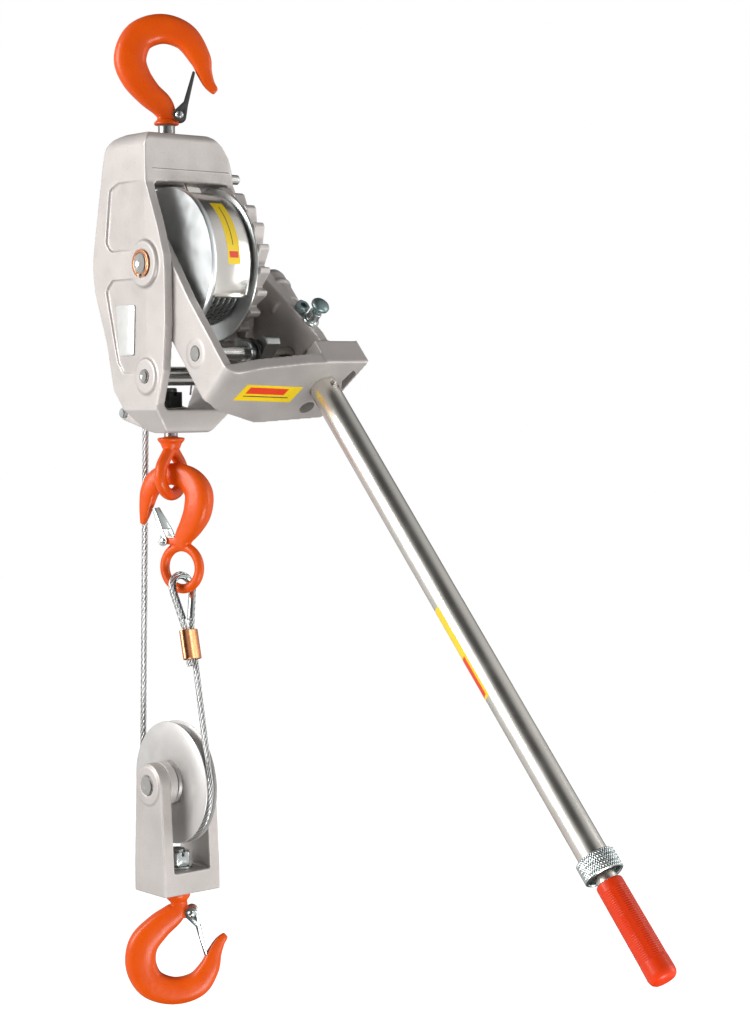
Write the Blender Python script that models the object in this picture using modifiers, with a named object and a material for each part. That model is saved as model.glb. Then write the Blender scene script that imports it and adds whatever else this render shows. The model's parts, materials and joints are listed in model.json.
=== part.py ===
"""Come along winch: a hand ratchet hoist with a wire rope, a sheave block and a long handle.

Units are metres in the scene. The sizes below are millimetres and are scaled as meshes are made.
The origin is the saddle of the top hook, +Z is up, +X runs along the drum axle towards the
handle side, and -Y is the side on which the handle swings.
"""
import bpy
import bmesh
from math import acos, atan2, cos, pi, radians, sin, sqrt
from mathutils import Matrix, Vector

MM = 0.001
GAP = 0.3

# Places of the main axes, from the top hook's saddle
AXLE_Y, AXLE_Z = -36.0, -215.0
CROSS_SHAFT_DROP = 106.0
BLOCK_PIN_DROP = 503.0
HANDLE_ANGLE = 41.8
HOOK_TURN = -36.0

# Main frame, a closed cast loop
FRAME_HALF = 52.0
PLATE = 9.0
OPENING_TOP, OPENING_BOTTOM = 78.0, -138.0
FRAME_TOP, FRAME_BOTTOM = 125.0, -160.0
BOSS_R, BOSS_RISE = 22.0, 4.0
POCKET_TILT = -2.2
LOW_BOSS_R, LOW_BOSS_RISE = 17.0, 2.5
FAIRLEAD_Y, FAIRLEAD_Z, FAIRLEAD_R = 56.0, -141.0, 4.6
CROSS_SHAFT_R = 6.5
TOP_SHANK_R, TOP_NUT_SEAT_R = 8.2, 17.5
EYE_SHANK_R = 6.6
SNAP_RING_R = 13.2

# Drum, flanges and ratchet wheel
SHAFT_R = 10.0
FLANGE_R, LEFT_FLANGE_T, RIGHT_FLANGE_T = 73.3, 6.6, 2.6
FLANGE_LEFT, FLANGE_RIGHT = -20.6, 24.6
CORE_R = 24.0
WRAP_R, WRAP_TURNS = 58.0, 7
WHEEL_X, WHEEL_T = 33.4, 12.0
WHEEL_TIP, WHEEL_ROOT, WHEEL_TEETH = 75.5, 66.5, 21
WHEEL_PHASE = 11.8

# Keeper band over the front of the drum
BAND_R, BAND_T = 69.2, 1.2
BAND_X0, BAND_X1 = -19.0, 20.0
KEEPER_ROD_Y, KEEPER_ROD_Z, KEEPER_ROD_R = 8.0, 85.0, 4.7
KEEPER_ROD_START = -47.5

# Handle yoke: s runs from the axle along the handle, n stands square to it, front and up
ARM_LEFT = -42.6
ARM_T = 9.0
ARM_RIGHT_NEAR, ARM_RIGHT_FAR = 52.6, 70.0
WALL_S0, WALL_S1 = 146.0, 158.0
SOCKET_S0 = 130.0
PAWL_S, PAWL_N, PAWL_SHAFT_R = 108.0, -8.0, 7.3
TUBE_X, TUBE_R, TUBE_S0, TUBE_S1 = 76.8, 13.6, 133.0, 691.0
TUBE_WALL = 1.8
HANDLE_PIN_R, HANDLE_PIN_S = 2.4, 165.0
COLLAR_S0, COLLAR_S1, COLLAR_R = 687.0, 705.5, 17.6
GRIP_S0, GRIP_S1 = 711.6, 806.0
PLUNGER_X, PLUNGER_S = 70.8, 104.0
YOKE_FRONT = 33.0

# Rope
ROPE_R = 3.175
FALL_X = -8.0
FALL_Y_TOP = WRAP_R + ROPE_R + 0.6

# Sheave block
SHEAVE_R, SHEAVE_T, SHEAVE_GROOVE = 60.0, 14.0, 53.2
SHEAVE_ROPE_R = 57.1
CHEEK_X0, CHEEK_X1 = 21.0, 33.0
BLOCK_HALF_Y = 26.0
BASE_TOP, BASE_BOTTOM = -588.0, -610.0
PIN_R = 9.6
BLOCK_SHANK_R = 8.0

# Eyes and hooks, heights from the axle
EYE_RING_Z, EYE_RING_R, EYE_WIRE = -201.8, 19.0, 6.0
EYE_TURN = 21.0
CABLE_TURN = -71.0
CABLE_EYE_X, CABLE_EYE_Z, CABLE_EYE_R, CABLE_EYE_WIRE = 11.0, -292.0, 20.6, 4.8
HOOK_FLATTEN = 0.72
LATCH_PIN_R = 2.0

for old in list(bpy.data.objects):
    bpy.data.objects.remove(old, do_unlink=True)

PARTS = bpy.data.collections.new("come_along_winch")
CUTTERS = bpy.data.collections.new("cutters")
for collection in (PARTS, CUTTERS):
    bpy.context.scene.collection.children.link(collection)


# ---------------------------------------------------------------- materials

def material(name, colour, roughness, metallic):
    made = bpy.data.materials.new(name)
    made.use_nodes = True
    shader = made.node_tree.nodes["Principled BSDF"]
    shader.inputs["Base Color"].default_value = (*colour, 1.0)
    shader.inputs["Roughness"].default_value = roughness
    shader.inputs["Metallic"].default_value = metallic
    made.diffuse_color = (*colour, 1.0)
    return made


CAST = ("cast_aluminium", (0.56, 0.53, 0.51), 0.55, 0.6)
ORANGE = ("orange_enamel", (0.85, 0.13, 0.03), 0.4, 0.0)
ZINC = ("zinc_plate", (0.62, 0.66, 0.66), 0.28, 1.0)
STEEL = ("bright_steel", (0.6, 0.6, 0.58), 0.25, 1.0)
DARK = ("dark_steel", (0.06, 0.06, 0.06), 0.45, 0.8)
ROPE = ("wire_rope", (0.55, 0.56, 0.55), 0.4, 1.0)
COPPER = ("copper", (0.72, 0.36, 0.2), 0.35, 1.0)
VINYL = ("orange_vinyl", (0.8, 0.1, 0.03), 0.5, 0.0)
PLATE_METAL = ("plate_metal", (0.78, 0.78, 0.76), 0.4, 1.0)
BRONZE = ("bronze", (0.5, 0.36, 0.18), 0.45, 1.0)


# ---------------------------------------------------------------- shape helpers

def link(name, mesh, collection):
    made = bpy.data.objects.new(name, mesh)
    collection.objects.link(made)
    return made


def place(obj, location=(0.0, 0.0, 0.0), rotation=(0.0, 0.0, 0.0)):
    obj.location = [value * MM for value in location]
    obj.rotation_euler = [radians(value) for value in rotation]
    return obj


def smooth(mesh, angle=35.0):
    mesh.shade_smooth()
    mesh.set_sharp_from_angle(angle=radians(angle))


def part(name, mesh, finish, location=(0.0, 0.0, 0.0), rotation=(0.0, 0.0, 0.0)):
    """A sub-part with its own material, at a place given in millimetres."""
    mesh.name = name
    mesh.materials.clear()
    mesh.materials.append(material(name + "_" + finish[0], *finish[1:]))
    smooth(mesh)
    return place(link(name, mesh, PARTS), location, rotation)


def on_axle(name, mesh, finish, y=0.0, z=0.0, rotation=(0.0, 0.0, 0.0)):
    return part(name, mesh, finish, (0.0, AXLE_Y + y, AXLE_Z + z), rotation)


def on_yoke(name, mesh, finish):
    """A piece drawn with its x along the axle, y = -n and z = -s."""
    return on_axle(name, mesh, finish, rotation=(-HANDLE_ANGLE, 0.0, 0.0))


def on_hook_line(name, mesh, finish, z=0.0, turn=HOOK_TURN):
    return part(name, mesh, finish, (0.0, 0.0, AXLE_Z + z), (0.0, 0.0, turn))


def evaluated(obj):
    """The object's finished mesh, welded, with the object itself taken away."""
    bpy.context.view_layer.update()
    graph = bpy.context.evaluated_depsgraph_get()
    mesh = bpy.data.meshes.new_from_object(obj.evaluated_get(graph))
    mesh.transform(obj.matrix_world)
    bpy.data.objects.remove(obj, do_unlink=True)
    shape = bmesh.new()
    shape.from_mesh(mesh)
    bmesh.ops.remove_doubles(shape, verts=shape.verts, dist=0.000002)
    bmesh.ops.dissolve_degenerate(shape, edges=shape.edges, dist=0.000001)
    bmesh.ops.recalc_face_normals(shape, faces=shape.faces)
    shape.to_mesh(mesh)
    shape.free()
    return mesh


def combine(base, tools, operation):
    """base cut by, joined to or kept inside each tool in turn; all are meshes in one frame."""
    body = link("body", base, PARTS)
    for index, tool in enumerate(tools):
        cutter = link("cutter", tool, CUTTERS)
        cutter.hide_render = True
        cutter.display_type = "WIRE"
        step = body.modifiers.new("step", "BOOLEAN")
        step.operation = operation
        step.object = cutter
        step.solver = "EXACT"
    made = evaluated(body)
    for cutter in list(CUTTERS.objects):
        bpy.data.objects.remove(cutter, do_unlink=True)
    return made


def joined(base, *tools):
    return combine(base, tools, "UNION")


def cut(base, *tools):
    return combine(base, tools, "DIFFERENCE")


def kept(base, *tools):
    return combine(base, tools, "INTERSECT")


def turned_to(mesh, axis):
    """Turns a shape made along z so that its z runs along the axis."""
    if axis == "x":
        mesh.transform(Matrix.Rotation(radians(90), 4, "Y"))
    if axis == "y":
        mesh.transform(Matrix.Rotation(radians(-90), 4, "X"))
    return mesh


def moved(mesh, x=0.0, y=0.0, z=0.0):
    mesh.transform(Matrix.Translation((x * MM, y * MM, z * MM)))
    return mesh


def rod(radius, start, end, axis="x", at=(0.0, 0.0), sides=24):
    """A round bar from start to end along an axis; at holds its other two coordinates."""
    shape = bmesh.new()
    bmesh.ops.create_cone(shape, cap_ends=True, segments=sides, radius1=radius * MM,
                          radius2=radius * MM, depth=(end - start) * MM)
    mesh = bpy.data.meshes.new("rod")
    shape.to_mesh(mesh)
    shape.free()
    turned_to(mesh, axis)
    middle = (start + end) / 2
    spot = {"x": (middle, at[0], at[1]), "y": (at[0], middle, at[1]), "z": (at[0], at[1], middle)}[axis]
    return moved(mesh, *spot)


def box(x, y, z):
    """A block given by its (low, high) ranges."""
    shape = bmesh.new()
    bmesh.ops.create_cube(shape, size=1.0)
    size = [(pair[1] - pair[0]) * MM for pair in (x, y, z)]
    middle = [(pair[1] + pair[0]) * MM / 2 for pair in (x, y, z)]
    bmesh.ops.scale(shape, vec=size, verts=shape.verts)
    bmesh.ops.translate(shape, vec=middle, verts=shape.verts)
    mesh = bpy.data.meshes.new("box")
    shape.to_mesh(mesh)
    shape.free()
    return mesh


def outline(points, low, high, plane="xz"):
    """A flat outline given thickness from low to high along the axis square to its plane."""
    data = bpy.data.curves.new("outline", "CURVE")
    data.dimensions = "2D"
    data.fill_mode = "BOTH"
    data.extrude = (high - low) * MM / 2
    spline = data.splines.new("POLY")
    spline.points.add(len(points) - 1)
    for spot, (u, v) in zip(spline.points, points):
        spot.co = (u * MM, v * MM, 0.0, 1.0)
    spline.use_cyclic_u = True
    mesh = evaluated(link("outline", data, PARTS))
    middle = (low + high) / 2
    if plane == "xz":
        mesh.transform(Matrix.Rotation(radians(90), 4, "X"))
        return moved(mesh, y=middle)
    if plane == "yz":
        mesh.transform(Matrix.Rotation(radians(90), 4, "Z") @ Matrix.Rotation(radians(90), 4, "X"))
        return moved(mesh, x=middle)
    return moved(mesh, z=middle)


def turned(profile, steps=28, axis="z", closed=False):
    """A turned shape: (radius, height) points run down the outer side from top to bottom."""
    mesh = bpy.data.meshes.new("profile")
    count = len(profile)
    edges = [(i, i + 1) for i in range(count - 1)]
    if closed:
        edges.append((count - 1, 0))
    mesh.from_pydata([(r * MM, 0.0, z * MM) for r, z in profile], edges, [])
    obj = link("profile", mesh, PARTS)
    screw = obj.modifiers.new("turn", "SCREW")
    screw.angle = 2 * pi
    screw.steps = steps
    screw.render_steps = steps
    screw.use_merge_vertices = True
    screw.merge_threshold = 0.000005
    return turned_to(evaluated(obj), axis)


def ring(outer, inner, low, high, axis="z", steps=28, edge=0.0):
    """A washer or sleeve, with an optional small chamfer on its outer edges."""
    profile = [(inner, high), (outer - edge, high), (outer, high - edge), (outer, low + edge),
               (outer - edge, low), (inner, low)]
    if edge == 0.0:
        profile = [(inner, high), (outer, high), (outer, low), (inner, low)]
    mesh = turned(profile, steps, "z", closed=True)
    return turned_to(mesh, axis)


def shaft(radius, start, end, edge, steps=18):
    """A shaft along x with a small chamfer at each end."""
    profile = [(0, end), (radius - edge, end), (radius, end - edge), (radius, start + edge),
               (radius - edge, start), (0, start)]
    return turned(profile, steps, "x")


def blend(points, per_span):
    """Points of a smooth line through the given (place..., radius) tuples."""
    rows = [Vector(p) for p in points]
    ends = [rows[0] * 2 - rows[1]] + rows + [rows[-1] * 2 - rows[-2]]
    line = []
    for i in range(1, len(ends) - 2):
        for step in range(per_span):
            t = step / per_span
            a, b, c, d = ends[i - 1], ends[i], ends[i + 1], ends[i + 2]
            line.append(0.5 * (2 * b + (c - a) * t + (2 * a - 5 * b + 4 * c - d) * t * t
                               + (3 * b - a - 3 * c + d) * t ** 3))
    return line + [rows[-1]]


def pipe(points, radius, sides=2, cyclic=False):
    """A round wire through (x, y, z) or (x, y, z, radius) points, with closed ends."""
    data = bpy.data.curves.new("pipe", "CURVE")
    data.dimensions = "3D"
    data.bevel_depth = radius * MM
    data.bevel_resolution = sides
    data.use_fill_caps = not cyclic
    data.twist_mode = "MINIMUM"
    spline = data.splines.new("POLY")
    spline.points.add(len(points) - 1)
    for spot, point in zip(spline.points, points):
        spot.co = (point[0] * MM, point[1] * MM, point[2] * MM, 1.0)
        spot.radius = point[3] / radius if len(point) == 4 else 1.0
    spline.use_cyclic_u = cyclic
    return evaluated(link("pipe", data, PARTS))


def hexagon(width, low, high, axis="z", at=(0.0, 0.0)):
    return rod(width / sqrt(3), low, high, axis, at, sides=6)


def arc(cx, cy, radius, start, end, steps):
    """Points of an arc, angles in degrees."""
    return [(cx + radius * cos(radians(start + (end - start) * i / steps)),
             cy + radius * sin(radians(start + (end - start) * i / steps))) for i in range(steps + 1)]


# ---------------------------------------------------------------- frame

SIDE_OUTLINE = [(-2, 119), (2, 124), (8, FRAME_TOP), (42, FRAME_TOP), (56, 121), (65, 113), (69, 102),
                (84, 35), (89, 10), (90, -3), (87, -24), (67.5, -74), (57, -119), (42, -136),
                (28, -150), (18, -158), (8, FRAME_BOTTOM), (-14, FRAME_BOTTOM), (-16, -132), (-27, -101),
                (-31, -60), (-31.5, -10), (-30, 8), (-20, 37), (-3, 77)]

# The frame's top left edge is rounded; its other corners are cast straight
TOP_EDGE_R = 16.0
TOP_EDGE = arc(-FRAME_HALF + TOP_EDGE_R, FRAME_TOP + 1 - TOP_EDGE_R, TOP_EDGE_R, 180, 90, 6)
FRONT_OUTLINE = TOP_EDGE + [(21, FRAME_TOP + 1), (30, 122), (39, 114), (46, 103), (49.5, 91),
                            (FRAME_HALF, 67), (FRAME_HALF, -126), (11, FRAME_BOTTOM - 0.5),
                            (-39, FRAME_BOTTOM - 0.5), (-FRAME_HALF, -138)]
UPPER_POCKET = [(-9, 79), (43, 79), (59, 73), (67, 22), (59, 14), (-9, 12)]
LOWER_POCKET = [(-9, -13), (56, -13), (68, -23), (49, -92), (40, -103), (-9, -104)]


def frame_opening():
    half = FRAME_HALF - PLATE
    r = 7.0
    lower_right = [(half, -117), (half - 4, -122), (21, OPENING_BOTTOM)]
    return (arc(half - r, OPENING_TOP - r, r, 90, 0, 4) + lower_right
            + arc(-half + r, OPENING_BOTTOM + r, r, 270, 180, 4)
            + arc(-half + r, OPENING_TOP - r, r, 180, 90, 4))


def pocket(points):
    """A shallow recess in the left plate, deepest at its back edge and running out to the front."""
    mesh = outline(points, -8.0, 0.0, "yz")
    mesh.transform(Matrix.Rotation(radians(POCKET_TILT), 4, "Z"))
    return moved(mesh, x=-FRAME_HALF)


def main_frame():
    body = outline(SIDE_OUTLINE, -FRAME_HALF, FRAME_HALF, "yz")
    body = kept(body, outline(FRONT_OUTLINE, -40, 100, "xz"))
    body = cut(body, outline(frame_opening(), -50, 110, "xz"))
    body = cut(body, pocket(UPPER_POCKET), pocket(LOWER_POCKET))
    root = -FRAME_HALF + 4
    bosses = [rod(BOSS_R, -FRAME_HALF - BOSS_RISE, root, "x", sides=30),
              rod(LOW_BOSS_R, -FRAME_HALF - LOW_BOSS_RISE, root, "x", (0, -CROSS_SHAFT_DROP), 26)]
    eye = arc(FAIRLEAD_Y, FAIRLEAD_Z, 7.5, 90, -60, 8)
    lug = [(20, -157), (20, -139), (50, -133.5)] + eye + [(28, -155)]
    lugs = [outline(lug, low, low + 6.0, "yz") for low in (-40.5, 14.0)]
    body = joined(body, *bosses, *lugs)
    holes = [rod(SHAFT_R + GAP, -80, 80, "x"),
             rod(CROSS_SHAFT_R + GAP, -80, 80, "x", (0, -CROSS_SHAFT_DROP)),
             rod(KEEPER_ROD_R + GAP, KEEPER_ROD_START - GAP, 80, "x", (KEEPER_ROD_Y, KEEPER_ROD_Z)),
             rod(TOP_SHANK_R + GAP, 60, 140, "z", (0, -AXLE_Y)),
             rod(TOP_NUT_SEAT_R, 60, 97, "z", (0, -AXLE_Y)),
             rod(EYE_SHANK_R + GAP, -180, -120, "z", (0, -AXLE_Y)),
             rod(FAIRLEAD_R + GAP, -80, 80, "x", (FAIRLEAD_Y, FAIRLEAD_Z)),
             rod(WHEEL_TIP + 2.5, 25.5, FRAME_HALF - PLATE - 0.2, "x", sides=44),
             box((-16, 20), (-1.2, 22), (60, 93))]
    return cut(body, *holes)


def build_frame():
    on_axle("main_frame", main_frame(), CAST)
    plate = outline([(51.5, -38), (18, -38), (21, -86), (46, -86)], -1.4, -GAP, "yz")
    plate.transform(Matrix.Rotation(radians(POCKET_TILT), 4, "Z"))
    on_axle("rating_plate", moved(plate, x=-FRAME_HALF), PLATE_METAL)
    on_axle("drum_shaft", shaft(SHAFT_R, -59.0, 67.0, 1.0, 26), ZINC)
    on_axle("drum_shaft_ring", ring(SNAP_RING_R, SHAFT_R + GAP, -58.2, -56.3, "x", 18), BRONZE)
    on_axle("drum_shaft_end_ring", ring(SNAP_RING_R, SHAFT_R + GAP, 62.2, 64.0, "x", 18), DARK)
    on_axle("cross_shaft", shaft(CROSS_SHAFT_R, -57.0, 54.5, 0.8), STEEL, z=-CROSS_SHAFT_DROP)
    rod_mesh = shaft(KEEPER_ROD_R, KEEPER_ROD_START, 64.0, 0.8)
    on_axle("keeper_rod", rod_mesh, STEEL, y=KEEPER_ROD_Y, z=KEEPER_ROD_Z)
    on_axle("fairlead_pin", shaft(FAIRLEAD_R, -44.0, 22.0, 0.7), ZINC, y=FAIRLEAD_Y, z=FAIRLEAD_Z)
    spacer_start, spacer_end = ARM_LEFT + ARM_T + GAP, FLANGE_LEFT - LEFT_FLANGE_T - GAP
    on_axle("arm_spacer", ring(17, SHAFT_R + GAP, spacer_start, spacer_end, "x", 18), STEEL)


# ---------------------------------------------------------------- drum

def ratchet_outline():
    """Saw teeth: a steep face towards the lower angle, then a long slope down to the next."""
    points = []
    pitch = 360.0 / WHEEL_TEETH
    for tooth in range(WHEEL_TEETH):
        start = tooth * pitch + WHEEL_PHASE
        for share, radius in ((0.0, WHEEL_ROOT), (0.02, WHEEL_TIP), (0.24, WHEEL_TIP), (0.9, WHEEL_ROOT)):
            angle = radians(start + share * pitch)
            points.append((radius * cos(angle), radius * sin(angle)))
    return points


def build_drum():
    core = ring(CORE_R, SHAFT_R + GAP, FLANGE_LEFT + GAP, FLANGE_RIGHT - GAP, "x", 26)
    on_axle("drum_core", core, CAST)
    for name, low, high in (("left_flange", FLANGE_LEFT - LEFT_FLANGE_T, FLANGE_LEFT),
                            ("right_flange", FLANGE_RIGHT, FLANGE_RIGHT + RIGHT_FLANGE_T)):
        on_axle(name, ring(FLANGE_R, SHAFT_R + GAP, low, high, "x", 40), ZINC)
    wheel = outline(ratchet_outline(), WHEEL_X - WHEEL_T / 2, WHEEL_X + WHEEL_T / 2, "yz")
    wheel = joined(wheel, rod(30, WHEEL_X - WHEEL_T / 2 + 1, 42.0, "x", sides=26))
    on_axle("ratchet_wheel", cut(wheel, rod(SHAFT_R + GAP, 0, 80, "x")), CAST)
    width = (FLANGE_RIGHT - FLANGE_LEFT - 2 * GAP) / WRAP_TURNS
    profile = []
    for turn in range(WRAP_TURNS):
        high = FLANGE_RIGHT - GAP - turn * width
        profile += [(WRAP_R - 2.2, high), (WRAP_R, high - 0.35 * width), (WRAP_R, high - 0.65 * width)]
    profile += [(WRAP_R - 2.2, FLANGE_LEFT + GAP), (CORE_R + 1, FLANGE_LEFT + GAP),
                (CORE_R + 1, FLANGE_RIGHT - GAP)]
    on_axle("rope_on_drum", turned(profile, 18, "x", closed=True), ROPE)


def build_keeper():
    """The band hangs on its rod and follows the drum's front; drawn from the rod's axis."""
    outer = arc(0, 0, BAND_R, 90, 206, 26)
    inner = arc(0, 0, BAND_R - BAND_T, 206, 90, 26)
    lip = [(-BAND_R * 0.915 - 3.0, -BAND_R * 0.44 - 2.2), (-BAND_R * 0.9 - 0.5, -BAND_R * 0.44 - 3.2)]
    band = outline(outer + lip + inner, BAND_X0, BAND_X1, "yz")
    eye = ring(KEEPER_ROD_R + 2.2, KEEPER_ROD_R + GAP, -8.0, 8.0, "x", 24)
    strap_points = [(2.6, 83.2), (6.2, 79.2), (5.2, 76), (0.5, 68.4), (-3.5, 68.6), (1.6, 76)]
    strap = outline(strap_points, -2.5, 12.5, "yz")
    band = joined(band, strap, moved(eye, 5.0, KEEPER_ROD_Y, KEEPER_ROD_Z))
    moved(band, 0, -KEEPER_ROD_Y, -KEEPER_ROD_Z)
    on_axle("keeper_band", band, STEEL, y=KEEPER_ROD_Y, z=KEEPER_ROD_Z)


# ---------------------------------------------------------------- handle side

def yoke_outline(points, low, high, plane):
    """Outlines in (s, n) for plane sn, (x, s) for xs or (x, n) for xn, in the yoke's own frame."""
    if plane == "sn":
        return outline([(-n, -s) for s, n in points], low, high, "yz")
    if plane == "xs":
        return outline([(x, -s) for x, s in points], -high, -low, "xz")
    return outline([(x, -n) for x, n in points], -high, -low, "xy")


def yoke_rod(radius, start, end, s, n, sides=18):
    return rod(radius, start, end, "x", (-n, -s), sides)


def handle_yoke():
    eye = 26.0
    left = arc(0, 0, eye, 106, 254, 12)
    left_points = left + [(70, -28), (128, -29), (146, -29), (WALL_S1 - 3, -27), (WALL_S1, -22),
                          (WALL_S1, 17), (120, 18), (60, 19)]
    body = yoke_outline(left_points, ARM_LEFT, ARM_LEFT + ARM_T, "sn")
    wall = [(ARM_LEFT, 17), (-9, 26), (44, 33), (112, 35), (105, -5), (101, -44), (23, -50), (-34, -30),
            (ARM_LEFT, -24)]
    end_wall = yoke_outline(wall, WALL_S0, WALL_S1, "xn")
    near, far = ARM_RIGHT_NEAR, ARM_RIGHT_FAR
    flare = [(near, -30), (near, 42), (far, 122), (far, 150), (far + ARM_T, 150), (far + ARM_T, 118),
             (near + ARM_T, 38), (near + ARM_T, -30)]
    right_points = arc(0, 0, eye, 95, 265, 12) + [(60, -31), (150, -44), (150, 34.5), (110, 33), (45, 28.5)]
    right = kept(yoke_outline(flare, -60, 60, "xs"), yoke_outline(right_points, 40, 100, "sn"))
    socket_points = [(62, 34.5), (112, 35), (105, -5), (101, -44), (62, -46)]
    socket = yoke_outline(socket_points, SOCKET_S0, WALL_S1 - 1, "xn")
    stop = turned([(0, 0), (8, -1.5), (12.5, -5.5), (14.5, -11), (14.5, -20), (15.8, -21), (15.8, -24),
                   (14.5, -25), (14.5, -46), (0, -46)], 18)
    moved(stop, ARM_RIGHT_NEAR + 18.0, -15.0, -24.0)
    body = joined(body, end_wall, socket, right, stop)
    holes = [rod(SHAFT_R + GAP, -80, 100, "x"),
             yoke_rod(PAWL_SHAFT_R + GAP, -80, 60, PAWL_S, PAWL_N),
             yoke_rod(PAWL_SHAFT_R + GAP, 60, 90, PAWL_S, PAWL_N),
             rod(TUBE_R + GAP, -200, -120, "z", (TUBE_X, 0)),
             yoke_outline([(100, 24), (106.5, 18), (102.5, -6), (95, 8)], 100, 170, "xn"),
             rod(8.0, -170, -139, "z", (74.0, 29.0), 24),
             rod(3.6 + GAP, -60, 0, "y", (PLUNGER_X, -PLUNGER_S), 24)]
    return cut(body, *holes)


def drive_pawl():
    """A lever with a nose that pushes the saw teeth and a tail that carries a cross pin."""
    hub = yoke_rod(12.0, 15.0, 40.0, 0, 0, 32)
    nose_points = [(-9, 7), (-32.5, -11.5), (-34, -16.5), (-29, -18.5), (-3, -11.5), (8, -8), (2, 10)]
    nose = yoke_outline(nose_points, 28.0, 39.4, "sn")
    tail = yoke_outline([(-8, 8), (-4, 22), (3, 26), (9, 23), (11, 3)], 23.5, 39.4, "sn")
    body = joined(hub, nose, tail)
    return cut(body, yoke_rod(PAWL_SHAFT_R + GAP, 0, 60, 0, 0, 20))


def build_yoke():
    on_yoke("handle_yoke", handle_yoke(), CAST)
    bar = shaft(PAWL_SHAFT_R, -43.8, 80.5, 0.8)
    on_yoke("pawl_shaft", moved(bar, 0, -PAWL_N, -PAWL_S), STEEL)
    washer = ring(12.5, PAWL_SHAFT_R + GAP, 12.6, 14.6, "x", 18)
    on_yoke("pawl_washer", moved(washer, 0, -PAWL_N, -PAWL_S), ZINC)
    nut = joined(hexagon(13.0, 0.4, 6.5), rod(4.0, -3.0, 1.0, "z", sides=16))
    on_yoke("socket_nut", moved(nut, 74.0, 29.0, -146.2), ZINC)
    roll_pin = rod(HANDLE_PIN_R, -17.0, 17.0, "y", sides=14)
    on_yoke("handle_pin", moved(roll_pin, TUBE_X, 0, -HANDLE_PIN_S), STEEL)


def place_yoke_piece(name, s, n, x=0.0):
    """Moves a piece of the yoke, drawn at its own axis, to (x, s, n)."""
    obj = bpy.data.objects[name]
    turn = Matrix.Rotation(radians(-HANDLE_ANGLE), 4, "X")
    obj.location = Vector((0, AXLE_Y * MM, AXLE_Z * MM)) + turn @ Vector((x * MM, -n * MM, -s * MM))


def facing_front(mesh):
    """Turns a piece made along z so that its z points out of the yoke's front face."""
    turned_to(mesh, "y")
    mesh.transform(Matrix.Rotation(radians(180), 4, "X"))
    return mesh


def build_plunger():
    sleeve = turned([(3.7, 13.0), (6.0, 13.0), (6.0, 3.4), (8.2, 3.0), (8.2, 0.3), (3.7, 0.3)], 16,
                    closed=True)
    on_yoke("plunger_sleeve", facing_front(sleeve), ZINC)
    place_yoke_piece("plunger_sleeve", PLUNGER_S, YOKE_FRONT, PLUNGER_X)
    knob = turned([(0, 26.0), (5.0, 25.6), (8.0, 24.0), (9.0, 21.8), (8.6, 19.6), (6.5, 18.4),
                   (3.4, 18.2), (3.4, -14.0), (0, -14.0)], 20)
    on_yoke("plunger_knob", facing_front(knob), ZINC)
    place_yoke_piece("plunger_knob", PLUNGER_S, YOKE_FRONT, PLUNGER_X)
    nut = cut(hexagon(12.0, 0.4, 7.0), rod(3.0, -5, 20, "z", sides=16))
    on_yoke("plunger_lock_nut", facing_front(nut), DARK)
    place_yoke_piece("plunger_lock_nut", PLUNGER_S - 15.0, YOKE_FRONT + 0.2, PLUNGER_X - 3.5)


def build_pawls():
    on_yoke("drive_pawl", drive_pawl(), DARK)
    place_yoke_piece("drive_pawl", PAWL_S, PAWL_N)
    spring = [(21.0, -13.9 * sin(radians(v)), -13.9 * cos(radians(v))) for v in range(-60, 150, 15)]
    end = spring[-1]
    spring += [(end[0] - 2, end[1] - 8.0, end[2] - 12.0), (end[0] - 4, end[1] - 12.0, end[2] - 22.0)]
    on_yoke("drive_pawl_spring", pipe(spring, 1.1), DARK)
    place_yoke_piece("drive_pawl_spring", PAWL_S, PAWL_N)

    hub = rod(11.0, 27.0, 40.6, "x", sides=18)
    nose_points = [(-10, -2), (-6, 12), (23, 30), (30, 32), (31.5, 27), (10, 1), (4, -9)]
    nose = outline(nose_points, 27.6, 39.2, "yz")
    lever_points = [(-4, -9.5), (-9, 4), (-44, -14), (-54, -15.5), (-56, -22), (-45, -22.5)]
    lever = outline(lever_points, 30.0, 36.0, "yz")
    holder = cut(joined(hub, nose, lever), rod(CROSS_SHAFT_R + GAP, 0, 60, "x"))
    on_axle("holding_pawl", holder, DARK, z=-CROSS_SHAFT_DROP)
    coil = []
    for step in range(36):
        angle = radians(step * 51.43)
        coil.append((24.5 - step * 0.486, 9.6 * cos(angle), 9.6 * sin(angle)))
    coil += [(7.4, 10.5, -6.0), (7.4, 13.0, -18.0)]
    on_axle("holding_pawl_spring", pipe(coil, 0.95, 1), STEEL, z=-CROSS_SHAFT_DROP)
    long_sleeve = ring(9.0, CROSS_SHAFT_R + GAP, -42.4, 5.2, "x", 18)
    on_axle("cross_shaft_sleeve", long_sleeve, STEEL, z=-CROSS_SHAFT_DROP)


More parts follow.
